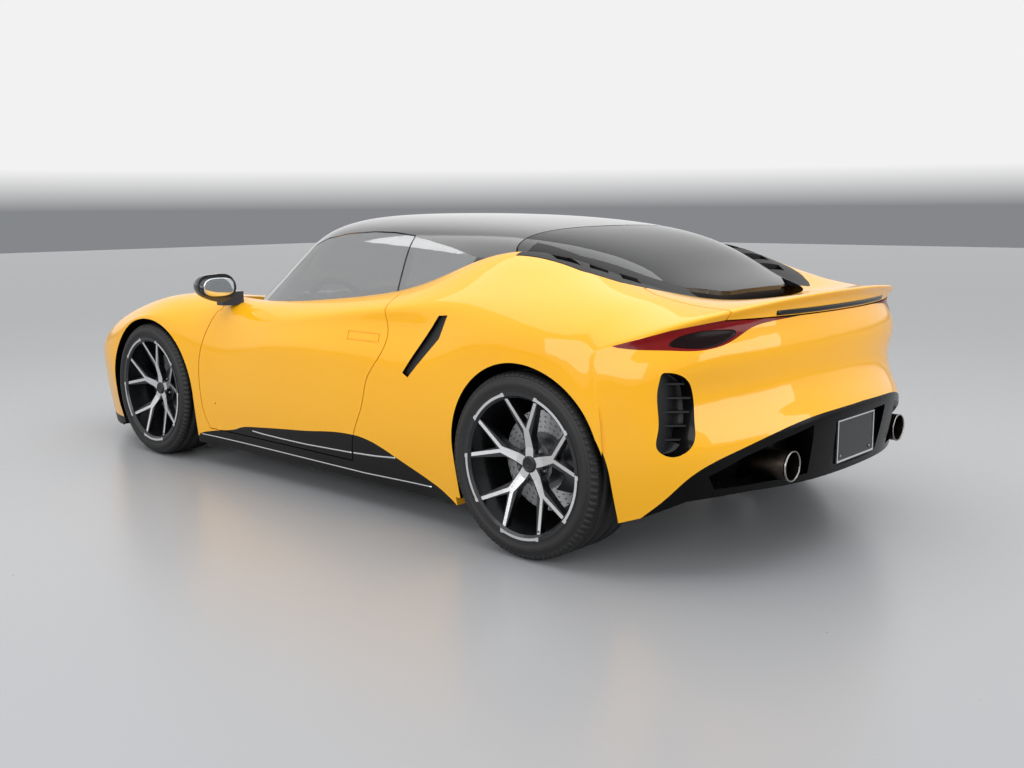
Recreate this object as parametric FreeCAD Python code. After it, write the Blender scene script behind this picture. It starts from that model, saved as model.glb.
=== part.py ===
# Two seat mid engined coupe, standing on its four wheels.
# Millimetres, +X forward, +Y to the left, +Z up, origin on the ground in the middle of the car.
import FreeCAD, Part
import math
import os

os.makedirs("parts", exist_ok=True)
V = FreeCAD.Vector

# Driving sizes of the car.
body_length = 4413.0
body_width = 1895.0
body_height = 1226.0
wheelbase = 2575.0
front_overhang = 993.0
ground_clearance = 112.0
floor_thickness = 34.0
panel_gap = 5.0
glue_bed = 0.3
pillar_width = 42.0
overrun = 60.0
whole_share = 100.0

# Wheels, tyres and brakes.
front_tyre_radius = 340.0
rear_tyre_radius = 342.5
front_tyre_width = 245.0
rear_tyre_width = 295.0
front_wheel_offset = 800.0
rear_wheel_offset = 790.0
rim_lip_radius = 270.0
bead_radius = 256.0
barrel_wall = 9.0
tyre_wall = 14.0
sidewall_height = 42.0
hub_radius = 62.0
hub_plate = 26.0
hub_inset = 58.0
spoke_root_width = 40.0
spoke_arm_width = 17.0
spoke_depth = 34.0
cap_radius = 30.0
disc_radius = 185.0
disc_thickness = 32.0
disc_bell_radius = 84.0
spindle_radius = 22.0
running_clearance = 0.06
bolt_circle = 114.3
bolt_hole_radius = 7.5
front_arch_radius = 365.0
rear_arch_radius = 372.0
well_depth = 45.0
front_lip_width = 85.0
rear_lip_width = 235.0
front_well_inner = 470.0
rear_well_inner = 560.0

# Doors, lids and their hinges.
door_hinge_x = 662.0
door_hinge_y = 848.0
door_inner_y = 705.0
door_nose_radius = 126.0
door_tail_radius = 1270.0
door_barrel_radius = 26.0
hinge_pin_radius = 7.0
hinge_leaf = 30.0
bonnet_rear_x = 905.0
bonnet_hinge_x = 925.0
bonnet_hinge_z = 806.0
bonnet_pin_radius = 6.0
bonnet_pin_y = 545.0
bonnet_pin_reach = 55.0
bonnet_thickness = 34.0
bonnet_gap = 8.0
tailgate_hinge_x = -1112.0
tailgate_hinge_z = 1120.0
tailgate_edge_radius = 56.0
glass_thickness = 5.0
roof_thickness = 36.0
lid_thickness = 30.0
pin_length = 40.0
handle_joint = 4.0

# Cabin, luggage bay and engine bay.
cabin_front_x = 800.0
cabin_rear_x = -640.0
bulkhead_thickness = 40.0
footwell_half_width = 640.0
bay_half_width = 430.0
bay_floor_z = 330.0
bay_front_x = 1900.0
cowl_share = 60.0
engine_bay_half_width = 520.0
engine_length = 520.0
engine_width = 620.0
engine_height = 560.0

half_length = body_length / 2
half_width = body_width / 2
front_axle_x = half_length - front_overhang
rear_axle_x = front_axle_x - wheelbase
rear_overhang = half_length + rear_axle_x
floor_top = ground_clearance + floor_thickness


def station(share):
    # Minus 100 is the nose, 0 the front axle, 100 the rear axle and 200 the tail.
    if share < 0:
        return front_axle_x - share / whole_share * front_overhang
    if share > whole_share:
        return rear_axle_x - (share - whole_share) / whole_share * rear_overhang
    return front_axle_x - share / whole_share * wheelbase


def across(share):
    return share / whole_share * half_width


def up(share):
    return share / whole_share * body_height


def point(shares):
    return V(station(shares[0]), across(shares[1]), up(shares[2]))


def arch_point(front, radius_share, angle, width_share):
    # A point on a circle about the wheel, the angle counted from the top.
    turn = math.radians(angle)
    if front:
        reach = front_arch_radius * radius_share
        return V(front_axle_x + reach * math.sin(turn), across(width_share),
                 front_tyre_radius + reach * math.cos(turn))
    reach = rear_arch_radius * radius_share
    return V(rear_axle_x - reach * math.sin(turn), across(width_share),
             rear_tyre_radius + reach * math.cos(turn))


# The skin of the body: columns run from the centre line out and down, each row is
# station, width and height. Columns beside a wheel end in four points round its arch.
arch_radius_shares = (1.08, 1.0, 0.86, 0.7)
front_arch_width_shares = (0, 0.3, -0.3, -2)
rear_arch_width_shares = (0, 0, -0.7, -2.5)
skin_shares = [
    ("front", 128, 92, [
        (-93, 0, 3), (-92.5, 20, 3), (-90, 38, 3), (-85, 53, 3), (-78, 66, 3),
        (-70, 75.5, 3), (-62, 82.5, 3), (-54, 87, 3.3), (-47, 89.8, 4), (-41, 91.3, 5)]),
    ("front", 116, 94.3, [
        (-98, 0, 13), (-97.4, 20, 13), (-95, 39, 13), (-90, 55, 13), (-82.5, 68.5, 13),
        (-73.5, 78, 13), (-64.5, 84.5, 13), (-56, 88.5, 13.5), (-48.5, 91.2, 14), (-42, 93, 15)]),
    ("front", 103, 95.7, [
        (-100, 0, 24), (-99.4, 20, 24), (-97, 40, 24), (-92, 56, 24), (-84.5, 70, 24),
        (-75.5, 79.5, 24), (-66, 86, 24), (-57.3, 90.3, 24), (-49.5, 93, 24), (-42.7, 94.8, 24)]),
    ("front", 90, 96.5, [
        (-100.35, 0, 35), (-99.8, 20, 35), (-97.3, 40, 35), (-92.4, 56, 35), (-85, 70, 34.5),
        (-76, 80, 34), (-66.5, 86.7, 34), (-58, 91.2, 33.5), (-50.2, 94, 33), (-43.5, 95.7, 32)]),
    ("front", 79, 97, [
        (-100, 0, 42.5), (-99.4, 20, 42.5), (-97, 40, 42.5), (-92, 56, 42.5), (-84.8, 70, 42),
        (-76, 80, 41.5), (-66.8, 87, 41), (-58.3, 91.6, 40.3), (-50.5, 94.3, 39.3),
        (-43.8, 96, 38)]),
    ("front", 68, 97.2, [
        (-94.5, 0, 48), (-94, 20, 48), (-91.7, 40, 48), (-87, 55, 47.8), (-80.5, 68, 47.5),
        (-72.8, 78.3, 47), (-64.6, 85.8, 46.2), (-57.2, 91, 45), (-50, 94, 43.5),
        (-43.6, 95.8, 42)]),
    ("front", 56, 97, [
        (-80, 0, 51.5), (-79.5, 20, 51.5), (-77.5, 40, 51.5), (-74, 54, 51.8), (-69.5, 66, 52),
        (-64.5, 76, 51.7), (-59.2, 83.5, 50.7), (-53.7, 89.3, 49.2), (-48.3, 93, 47.3),
        (-43, 95.3, 45.3)]),
    ("front", 42, 97, [
        (-57, 0, 55), (-57, 20, 55), (-55, 40, 55.3), (-53, 54, 56), (-51, 66, 57),
        (-49, 76, 57.3), (-46.5, 83.5, 56), (-44, 89.3, 53.8), (-41.5, 93.3, 51.5),
        (-38.8, 95.6, 49.3)]),
    ("front", 23, 97.2, [
        (-30, 0, 58.7), (-30, 20, 58.7), (-29, 40, 59.2), (-28.5, 53, 60.2), (-28, 64, 61.9),
        (-27.5, 74, 62.9), (-26.5, 82.5, 61.7), (-25, 89.3, 59.2), (-24, 93.7, 56.8),
        (-22.5, 95.8, 54.9)]),
    ("front", 0, 97, [
        (0, 0, 62.2), (0, 20, 62.2), (0, 38, 62.7), (0, 50, 63.7), (0, 62, 65.9),
        (0, 73, 67.7), (0, 82.5, 66.6), (0, 89.5, 64), (0, 93.7, 61.9), (0, 95.8, 60.6)]),
    ("", 0, 0, [
        (11, 0, 65.3), (11, 20, 65.3), (11, 38, 65.6), (10.5, 50, 66.3), (10, 62, 67.7),
        (9.7, 73, 68.8), (9.5, 82, 67.7), (9.4, 88.6, 64.3), (9.2, 92.5, 61), (8.6, 94.8, 58.6),
        (7.3, 95.8, 56.4), (12.9, 96, 42), (13.3, 94.8, 24), (13.1, 92, 5)]),
    ("", 0, 0, [
        (22, 0, 67), (22, 20, 67), (21.5, 38, 67), (21, 50, 67.2), (20, 62, 68), (19, 73, 68.6),
        (18.3, 81.5, 67.3), (18, 87.5, 63.5), (18, 91, 58.3), (18, 93, 52), (18, 94, 43),
        (18, 94, 32), (18, 92.5, 19), (18, 90, 4)]),
    ("", 0, 0, [
        (30, 0, 62), (30, 20, 62), (30, 38, 62), (30, 52, 63.2), (29, 66, 65.5), (28, 76.5, 67.4),
        (28, 83.5, 66.2), (28, 88.2, 62), (28, 91, 56.5), (28, 93, 50), (28, 94.2, 41),
        (28, 94, 30), (28, 91.7, 19), (28, 88.5, 4)]),
    ("", 0, 0, [
        (40, 0, 62), (40, 20, 62), (40, 38, 62), (40, 54, 64), (40, 68, 67.5), (40, 78, 69.2),
        (40, 86.3, 66.4), (40, 91.8, 61.8), (40, 92.2, 59), (40, 95.2, 54.3), (40, 95, 49.5),
        (40, 94, 30), (40, 91.5, 18.5), (40, 87.5, 4)]),
    ("", 0, 0, [
        (52, 0, 62), (52, 20, 62), (52, 38, 62), (52, 54, 65), (52, 67, 69.5), (52, 77.5, 71.4),
        (52, 86.6, 68.7), (52, 91.9, 65), (52, 91.7, 62.3), (52, 95.5, 55), (52, 95.2, 50),
        (52, 94, 30.5), (52, 91.2, 18.5), (52, 87, 4)]),
    ("", 0, 0, [
        (63, 0, 62), (63, 20, 62), (63, 38, 62), (63, 54, 67), (63, 66, 72.6), (63, 77, 73.8),
        (63, 86.9, 71), (63, 91.8, 67.9), (63, 90.9, 65), (63, 95.7, 55), (63, 95.2, 49.8),
        (63, 94, 31), (63, 91, 18.5), (63, 86.5, 4)]),
    ("", 0, 0, [
        (73, 0, 62), (73, 20, 62), (73, 38, 62), (73, 54, 70.5), (73, 66, 78.8), (73, 77, 77.2),
        (73, 87.2, 73), (73, 92.3, 70.3), (73, 90.1, 66.8), (73, 95, 54.5), (73, 95.3, 49.5),
        (73, 94.5, 31), (73, 91.3, 18.5), (73, 86, 4)]),
    ("", 0, 0, [
        (82, 0, 62), (82, 20, 62), (82, 38, 63), (82, 54, 76), (82, 65, 88), (82, 75, 84.5),
        (82, 85.5, 77.7), (82, 93.2, 72.2), (82, 92.6, 66.3), (81.8, 96.2, 55.5), (81.5, 96.3, 48),
        (81, 95.3, 33), (80.5, 92, 19), (80, 86, 4)]),
    ("", 0, 0, [
        (91, 0, 62), (91, 20, 63), (91, 36, 67), (91, 51, 79), (91, 64, 92), (91, 73.5, 88.2),
        (91, 85, 80), (91, 93.8, 73.5), (91, 97.5, 67.3), (91, 98.4, 62),
        (92.3, 98.3, 57.1), (87, 97.6, 42.6), (86.6, 95, 24), (86.8, 90, 5)]),
    ("rear", 0, 100.1, [
        (100, 0, 64), (100, 20, 65), (100, 34, 70), (100, 47, 79), (100, 59, 87.6),
        (100, 71, 86), (100, 82.5, 80.7), (100, 92.3, 75), (100, 97.7, 69.5), (100, 99.6, 65)]),
    ("rear", 19, 99.9, [
        (118, 0, 68), (118, 18, 69), (118, 31, 74), (118, 42, 79), (118, 54, 81.8),
        (118, 66.5, 82), (118, 79, 79.5), (117.5, 89.7, 75), (116.5, 96.2, 70.2),
        (115.5, 99.2, 66)]),
    ("rear", 35, 99.3, [
        (140, 0, 72.5), (140, 18, 72.8), (139.5, 31, 74.2), (139, 41, 75.9), (138, 52, 77.5),
        (136.5, 64, 78.2), (134.5, 76, 77.3), (132, 86.5, 74), (129.7, 93.7, 70.4),
        (127.7, 97.6, 66.8)]),
    ("rear", 46, 98.9, [
        (162, 0, 74.6), (162, 18, 74.6), (161, 30, 74.8), (159, 41, 75.2), (156, 52, 75.9),
        (152, 64, 76.5), (147, 75.5, 74.8), (141.5, 85.3, 72.2), (136.5, 92.2, 69.3),
        (132.3, 96.5, 66.2)]),
    ("rear", 54, 98.7, [
        (184, 0, 77.3), (184, 18, 77.3), (182, 33, 77.1), (178.5, 47, 76.6), (173.5, 59, 75.8),
        (166.5, 71, 74.3), (157.5, 81, 72), (148.5, 88.5, 69.5), (141.3, 93.4, 67.2),
        (135.5, 96.8, 64.6)]),
    ("rear", 60, 98.7, [
        (192.5, 0, 78.3), (192, 18, 78.2), (189.8, 36, 77.6), (185.5, 52.5, 76.6),
        (179.5, 66, 75), (171, 77, 72.8), (161, 85.5, 70.2), (151, 91.2, 67.5),
        (143, 94.8, 65.2), (136.5, 97.3, 62.8)]),
    ("rear", 64, 98.7, [
        (192.4, 0, 77.2), (191.9, 18, 77.1), (189.6, 36, 76.5), (185.2, 52.5, 75.4),
        (179.2, 66, 73.8), (170.7, 77, 71.6), (160.8, 85.5, 69), (151, 91.4, 66.3),
        (143.1, 95, 64), (136.7, 97.4, 61.6)]),
    ("rear", 68, 98.6, [
        (188.5, 0, 75.5), (188, 18, 75.4), (185.8, 36, 74.7), (181.7, 52, 73.5), (176, 65.5, 71.8),
        (168.3, 76.7, 69.7), (159.3, 85.7, 67.2), (150.5, 91.8, 64.9), (143.2, 95.3, 62.7),
        (137, 97.5, 60.5)]),
    ("rear", 72, 98.5, [
        (188.3, 0, 71.8), (187.8, 18, 71.7), (185.7, 36, 71.1), (181.7, 52, 70), (176.3, 66, 68.5),
        (169, 77.5, 66.6), (160.2, 86.5, 64.5), (151.3, 92.5, 62.5), (143.8, 95.8, 60.5),
        (137.5, 97.7, 58.6)]),
    ("rear", 76, 98.4, [
        (191.3, 0, 68.5), (190.8, 18, 68.4), (188.7, 36, 67.8), (184.7, 52.5, 66.8),
        (179, 67, 65.4), (171.5, 79, 63.6), (162.5, 87.5, 61.8), (153, 93.1, 60),
        (145, 96.1, 58.3), (138.3, 97.8, 56.6)]),
    ("rear", 82, 98.3, [
        (192.7, 0, 62.3), (192.2, 18, 62.2), (190, 36, 61.8), (186, 53, 61), (179.6, 67.6, 60),
        (171.8, 79.9, 58.9), (163.5, 88.3, 57.3), (154, 93.5, 56), (145.9, 96.3, 54.7),
        (139, 97.9, 53.4)]),
    ("rear", 89, 98, [
        (191.5, 0, 55.5), (191, 18, 55.4), (188.5, 36, 55.2), (183.5, 52.4, 54.8), (176.3, 67, 54.2),
        (168.3, 79.3, 53.3), (162.3, 88.6, 52.4), (154.7, 93.8, 51.5), (146.5, 96.3, 50.6),
        (139.5, 97.8, 49.8)]),
    ("rear", 96, 97.6, [
        (194.5, 0, 49.5), (194, 18, 49.3), (191.2, 36, 48.9), (185.6, 52.4, 48.3), (178, 67.2, 47.6),
        (169.6, 79.6, 46.8), (163, 88.6, 46), (155.3, 93.7, 45.4), (147, 96, 44.8),
        (140, 97.5, 44.2)]),
    ("rear", 105, 96.7, [
        (200, 0, 46), (199.5, 18, 45.6), (196.8, 36, 44.3), (190.5, 53, 42.3), (183, 68.5, 40.2),
        (174, 80.8, 38.5), (164.5, 88.3, 37.2), (155.3, 92.8, 36.5), (147.2, 95.1, 36),
        (140.2, 96.5, 35.5)]),
    ("rear", 113, 95.2, [
        (200.6, 0, 43), (200, 18, 42.5), (197.2, 36, 40.5), (191, 53, 37.5), (183, 68, 34.5),
        (173.5, 79.8, 32), (164, 87, 30.3), (154.8, 91.3, 29.2), (146.8, 93.4, 28.6),
        (139.8, 94.8, 28)]),
    ("rear", 122, 92.5, [
        (198.5, 0, 33), (198, 18, 32.5), (195.2, 36, 31), (188.5, 52, 28.5), (180.5, 66.5, 25.5),
        (171.5, 77.5, 23), (162.5, 84, 21.3), (153.5, 88, 20.3), (145.8, 90.3, 20), (139, 91.8, 20)]),
    ("rear", 132, 90, [
        (193, 0, 15), (192.5, 18, 15), (190, 36, 14.5), (184.5, 51, 13.5), (176.5, 64.5, 12.5),
        (168, 75, 11.5), (159.5, 81, 11), (151, 85, 11), (143.8, 87.3, 11.3), (137, 89, 12)]),
    ("rear", 142, 88, [
        (190, 0, 2), (189.5, 18, 2), (187, 36, 2), (181.5, 50, 2), (173.5, 63, 2), (165.5, 73, 2),
        (157.5, 79, 2), (149.3, 83, 2), (142.3, 85.5, 2.5), (135.5, 87.3, 3.5)]),
]

# The cabin dome: windscreen, roof, side glass and tailgate glass are cut from it.
dome_shares = [
    [(3, 0, 56), (3.5, 20, 56), (5.5, 38, 55.8), (9, 54, 55.5), (14, 66, 55),
     (19, 74, 54), (23, 79, 52), (26, 82, 49), (28, 83.5, 45), (29, 84, 40)],
    [(10, 0, 64), (10.5, 19, 64), (12, 37, 63.8), (15, 53, 63.4), (19.5, 65, 62.8),
     (24, 73, 61.8), (27, 78, 60), (29.5, 81, 57), (31, 83, 53), (32, 84, 47)],
    [(18, 0, 74.5), (18.3, 18, 74.4), (19.5, 35, 74), (22, 50, 73), (25.5, 62, 71.5),
     (29, 70.5, 69.7), (32, 76, 67), (34, 80, 63), (35.5, 82.8, 58), (36, 84.5, 50)],
    [(26.5, 0, 87.6), (26.8, 18, 87.4), (27.7, 34, 86.8), (29.5, 48, 85.2), (31.8, 59, 82.5),
     (34, 67.5, 79), (36, 73.5, 74.7), (38, 78.7, 69), (39.5, 82.6, 62), (40, 85, 53)],
    [(34.5, 0, 97), (34.7, 19, 96.8), (35.3, 35, 95.9), (36.3, 49, 93.8), (37.8, 58.8, 90.6),
     (39.5, 66, 86.2), (41.5, 72, 80.2), (43, 78, 72.7), (44, 82.7, 64), (44, 85.5, 54)],
    [(43, 0, 100), (43, 20, 99.8), (43, 37, 98.9), (43.3, 51, 96.6), (44, 60, 93.4),
     (45, 66.3, 88.6), (46, 72, 81.5), (47, 77.7, 73.3), (47.5, 82.5, 64.5), (47.5, 85.8, 54)],
    [(54, 0, 100.3), (54, 20, 100.1), (54, 38, 99.3), (54, 52, 97.2), (54, 61, 94.3),
     (54, 66.7, 89.3), (54, 72.2, 81.8), (54, 77.7, 73.6), (54, 82.5, 64.8), (54, 86, 54)],
    [(65, 0, 100.1), (65, 20, 99.9), (65, 38, 99.1), (65, 52, 97.1), (65, 61.5, 94.3),
     (65, 67, 89.6), (65, 72, 82.3), (65, 77.3, 74.2), (65, 82, 65.5), (65, 86, 54)],
    [(76, 0, 99.2), (76, 20, 99), (76, 38, 98.2), (76, 52, 96.4), (76, 62, 93.7),
     (76, 67.5, 89.2), (76, 71.5, 82.7), (76, 75.5, 74.8), (76, 80, 66), (76, 85, 54)],
    [(86, 0, 97.3), (86, 20, 97.1), (86, 38, 96.4), (86, 52, 95), (86, 61.5, 92.5),
     (86, 66.5, 88.4), (86, 69.5, 82.5), (86, 73, 75), (86, 77, 66), (86, 82, 54)],
    [(95, 0, 94), (95, 20, 93.8), (95, 37, 93.1), (95, 50.5, 91.6), (95, 59.5, 89.3),
     (95, 64, 86), (95, 67, 80.5), (95, 70, 73.5), (95, 73.5, 65), (95, 78, 54)],
    [(108, 0, 88.2), (108, 19, 88), (108, 34.5, 87.3), (108, 46.5, 86), (108, 55, 84),
     (108, 59.5, 81.3), (108, 62.5, 77), (108, 65.5, 71), (108, 68.5, 63), (108, 72, 54)],
    [(124, 0, 82.6), (124, 17, 82.4), (124, 31, 81.8), (124, 42, 80.8), (124, 49.3, 79.4),
     (124, 53.5, 77.3), (124, 56.5, 73.7), (124, 59, 68.5), (124, 61.5, 61.5), (124, 64, 54)],
    [(140, 0, 78.6), (140, 15, 78.5), (140, 27.5, 78), (140, 37, 77.3), (140, 43, 76.4),
     (140, 47, 75), (140, 50, 72.3), (140, 52.5, 68), (140, 55, 62), (140, 57, 54)],
    [(152, 0, 75.8), (152, 13, 75.7), (152, 24, 75.4), (152, 32.5, 74.9), (152, 38.5, 74),
     (152, 42.5, 72.5), (152, 45.5, 70), (152, 48, 66.5), (152, 50, 61.5), (152, 52, 54)],
    [(164, 0, 71.5), (164, 12, 71.4), (164, 22, 71), (164, 30, 70.3), (164, 35.5, 69.2),
     (164, 39.5, 67.5), (164, 42.5, 65), (164, 45, 61.5), (164, 47, 57.5), (164, 48.5, 52)],
]


def skin_columns():
    columns = []
    for arch, angle, width, rows in skin_shares:
        column = [point(row) for row in rows]
        if arch:
            front = arch == "front"
            steps = front_arch_width_shares if front else rear_arch_width_shares
            for radius_share, step in zip(arch_radius_shares, steps):
                column.append(arch_point(front, radius_share, angle, width + step))
        columns.append(column)
    return columns


def inset_columns(columns, depth):
    # Moves each pole inwards by about the wall thickness, square to the surface.
    moved = []
    last_column = len(columns) - 1
    for i, column in enumerate(columns):
        row_list = []
        last_row = len(column) - 1
        for j, pole in enumerate(column):
            along = columns[min(i + 1, last_column)][j] - columns[max(i - 1, 0)][j]
            down = column[min(j + 1, last_row)] - column[max(j - 1, 0)]
            if j == 0:
                down = V(0, 1, 0)
            normal = along.cross(down)
            normal.normalize()
            row_list.append(pole + normal * depth)
        moved.append(row_list)
    return moved


def clamped_knots(count):
    inner = count - 4
    return [4] + [1] * inner + [4], list(range(inner + 2))


def net_face(columns):
    # One smooth face over both halves of the car.
    poles = []
    for column in columns:
        mirrored = [V(p.x, -p.y, p.z) for p in reversed(column[1:])]
        poles.append(mirrored + column)
    u_mults, u_knots = clamped_knots(len(poles))
    v_mults, v_knots = clamped_knots(len(poles[0]))
    surface = Part.BSplineSurface()
    surface.buildFromPolesMultsKnots(poles, u_mults, v_mults, u_knots, v_knots,
                                     False, False, 3, 3)
    return surface.toShape()


def inner_side(block, face, probe):
    # Splits the block with the face and keeps the piece that holds the probe.
    pieces, _ = block.generalFuse([face])
    for solid in pieces.Solids:
        if solid.isInside(probe, running_clearance, False):
            return solid
    raise ValueError("the face does not divide the block")


def span_box(low_x, high_x, low_y, high_y, low_z, high_z):
    return Part.makeBox(high_x - low_x, high_y - low_y, high_z - low_z, V(low_x, low_y, low_z))


def polygon_prism(points, direction):
    wire = Part.makePolygon(points + points[:1])
    return Part.Face(wire).extrude(direction)


def side_prism(outline, low_y, high_y):
    points = [V(x, low_y, z) for x, z in outline]
    return polygon_prism(points, V(0, high_y - low_y, 0))


def plan_prism(outline, low_z, high_z):
    points = [V(x, y, low_z) for x, y in outline]
    return polygon_prism(points, V(0, 0, high_z - low_z))


def rear_prism(outline, low_x, high_x):
    points = [V(low_x, y, z) for y, z in outline]
    return polygon_prism(points, V(high_x - low_x, 0, 0))


def tube_y(x, z, radius, low_y, high_y):
    return Part.makeCylinder(radius, high_y - low_y, V(x, low_y, z), V(0, 1, 0))


def tube_z(x, y, radius, low_z, high_z):
    return Part.makeCylinder(radius, high_z - low_z, V(x, y, low_z), V(0, 0, 1))


def other_side(shape):
    return shape.mirror(V(0, 0, 0), V(0, 1, 0))


def both_sides(shape):
    return Part.makeCompound([shape, other_side(shape)])


def joined(shapes):
    result = shapes[0]
    if len(shapes) > 1:
        result = result.fuse(shapes[1:])
    return result


def carve(shape, tools):
    # One cut after another, which keeps curved faces sound.
    for tool in tools:
        shape = shape.cut(tool)
    return shape


def solids_of(shape, least_share=0.002):
    # Leaves out slivers that a cut can shed.
    largest = max(solid.Volume for solid in shape.Solids)
    kept = [solid for solid in shape.Solids if solid.Volume > largest * least_share]
    return Part.makeCompound(kept)


def write(name, shape):
    shape = solids_of(shape)
    if len(shape.Solids) == 1:
        shape = shape.Solids[0]
    shape.exportStep("parts/" + name + ".step")
    box = shape.BoundBox
    print(name, len(shape.Solids), shape.isValid(), round(shape.Volume / 1e6, 2),
          [round(v) for v in (box.XMin, box.XMax, box.YMin, box.YMax, box.ZMin, box.ZMax)])


# Wheel wells: an open arch with a deeper space behind its lip.
def tunnel(x, axle_z, radius, low_y, high_y, low_z):
    # A half round arch over straight walls.
    front_foot = V(x + radius, low_y, low_z)
    rear_foot = V(x - radius, low_y, low_z)
    front_spring = V(x + radius, low_y, axle_z)
    rear_spring = V(x - radius, low_y, axle_z)
    arch = Part.Arc(front_spring, V(x, low_y, axle_z + radius), rear_spring).toShape()
    edges = [Part.makeLine(front_foot, front_spring), arch, Part.makeLine(rear_spring, rear_foot),
             Part.makeLine(rear_foot, front_foot)]
    return Part.Face(Part.Wire(edges)).extrude(V(0, high_y - low_y, 0))


def wheel_well(x, axle_z, arch_radius, inner_y, lip_width):
    lip_y = half_width - lip_width
    deep = tunnel(x, axle_z, arch_radius + well_depth, inner_y, lip_y, 0)
    arch = tunnel(x, axle_z, arch_radius, lip_y, half_width + overrun, 0)
    return joined([deep, arch])


flare_trim_low_shares = [(140, 97.6), (146, 92.9), (146, 104), (140, 104)]
flare_trim_high_shares = [(140, 99.4), (146, 97.6), (146, 104), (140, 104)]
flare_trim_height_shares = (16.3, 52.2)


def flare_trim():
    # A leaning cut that ends the rear flare in the tail's side, with no fin behind the wheel.
    wires = []
    outlines = (flare_trim_low_shares, flare_trim_high_shares)
    for outline, height in zip(outlines, flare_trim_height_shares):
        corners = [V(station(s), across(y), up(height)) for s, y in outline]
        wires.append(Part.makePolygon(corners + corners[:1]))
    return Part.makeLoft(wires, True, True)


def wells():
    front = wheel_well(front_axle_x, front_tyre_radius, front_arch_radius, front_well_inner,
                       front_lip_width)
    rear = wheel_well(rear_axle_x, rear_tyre_radius, rear_arch_radius, rear_well_inner,
                      rear_lip_width)
    trim = flare_trim()
    return joined([front, rear, other_side(front), other_side(rear), trim, other_side(trim)])


def spline_wire(points):
    curve = Part.BSplineCurve()
    curve.interpolate(points)
    return curve.toShape()


def turned_about_hinge(height_shares, radius_shares, radius, grow):
    # A solid of revolution about the door hinge, its wall bulging with height.
    reach = [radius * share + grow for share in radius_shares]
    heights = [up(share) for share in height_shares]
    rim = [V(door_hinge_x, door_hinge_y - r, z) for r, z in zip(reach, heights)]
    low = V(door_hinge_x, door_hinge_y, heights[0])
    high = V(door_hinge_x, door_hinge_y, heights[-1])
    edges = [Part.makeLine(low, rim[0]), spline_wire(rim), Part.makeLine(rim[-1], high),
             Part.makeLine(high, low)]
    face = Part.Face(Part.Wire(edges))
    return face.revolve(V(door_hinge_x, door_hinge_y, 0), V(0, 0, 1), 360)


nose_height_shares = (8, 14, 21, 32, 45, 52, 57, 61, 66, 76, 104)
nose_radius_shares = (0.5, 0.55, 0.85, 1.0, 0.9, 0.66, 0.42, 0.25, 0.15, 0.13, 0.13)
nose_slim_share = 60.0
tail_height_shares = (8, 16, 26, 37.5, 46.7, 54, 62, 69, 76, 104)
tail_radius_shares = (0.78, 0.785, 0.815, 0.88, 0.915, 0.973, 1.0, 0.978, 0.978, 0.978)
sill_top = up(13)
sill_line_shares = [(13, 15.6), (86.5, 15.6)]


def sill_zone(rise):
    # Below the line where the dark blade meets the yellow panels.
    low = (sill_line_shares[-1][0], 0), (sill_line_shares[0][0], 0)
    outline = [(station(s), up(z) + rise) for s, z in sill_line_shares]
    outline += [(station(s), up(z)) for s, z in low]
    return side_prism(outline, 0, half_width + overrun)


def door_zone(grow):
    nose = turned_about_hinge(nose_height_shares, nose_radius_shares, door_nose_radius, grow)
    behind = span_box(cabin_rear_x - door_tail_radius, door_hinge_x + grow, door_inner_y - grow,
                      half_width + overrun, sill_top - grow, body_height)
    tail = turned_about_hinge(tail_height_shares, tail_radius_shares, door_tail_radius, grow)
    reach_x = door_hinge_x + door_nose_radius + overrun
    outer = span_box(door_hinge_x, reach_x, door_hinge_y - grow, half_width + overrun,
                     sill_top - grow, body_height)
    # Above the slim height the nose turns within its own round.
    slim = span_box(door_hinge_x, reach_x, door_hinge_y - door_nose_radius,
                    half_width + overrun, up(nose_slim_share) - grow, body_height)
    return behind.common(tail).fuse(nose.common(outer.fuse(slim)))


# Window outlines in side view, as station and height.
def side_points(shares):
    return [(station(s), up(z)) for s, z in shares]


door_glass_shares = [(25.5, 57), (25.5, 65.8), (29.8, 74.5), (33.3, 81), (36.8, 87.3), (42, 91),
                     (48, 92.9), (54.5, 93.7), (60, 93.5), (65.6, 92.6), (66.6, 73.8), (67, 57)]
quarter_glass_shares = [(66.95, 73.4), (65.95, 92.4), (70, 91.3), (75.5, 89.3), (81.6, 86.4),
                        (80.5, 83), (74, 75.5), (70.5, 73)]
strip_edge_shares = [(90.2, 85.8), (123.6, 77.3), (149, 74), (165, 72), (165, 104), (86, 104),
                     (86, 85.8)]
windscreen_shares = [(-8, 100), (-8, -100), (22, -73.5), (36.2, -61.5), (35, -45), (33.6, -20),
                     (33.2, 0), (33.6, 20), (35, 45), (36.2, 61.5), (22, 73.5)]
waist_shares = [(22.2, 40), (22.2, 64.5), (25.5, 65.2), (40, 68.5), (54, 71), (66.6, 72.6),
                (69.9, 73), (69.9, 40)]


def grown_prism(outline, low_y, high_y, grow):
    wire = Part.makePolygon([V(x, low_y, z) for x, z in outline + outline[:1]])
    face = Part.Face(wire).makeOffset2D(grow)
    return face.extrude(V(0, high_y - low_y, 0))


# Bonnet and tail lid zones in plan.
bonnet_shares = [(-86, 0), (-84.5, 18), (-79, 34), (-70, 46), (-52, 54), (-28, 57.5), (-6, 59),
                 (12, 59.5)]
deck_shares = [(133, 0), (133, 60.5), (141, 63.5), (160, 65), (215, 68)]
deck_floor_share = 72.0


def mirrored_outline(shares):
    near = [(station(s), across(y)) for s, y in shares]
    far = [(x, -y) for x, y in reversed(near) if y > 0]
    return near + far


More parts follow.
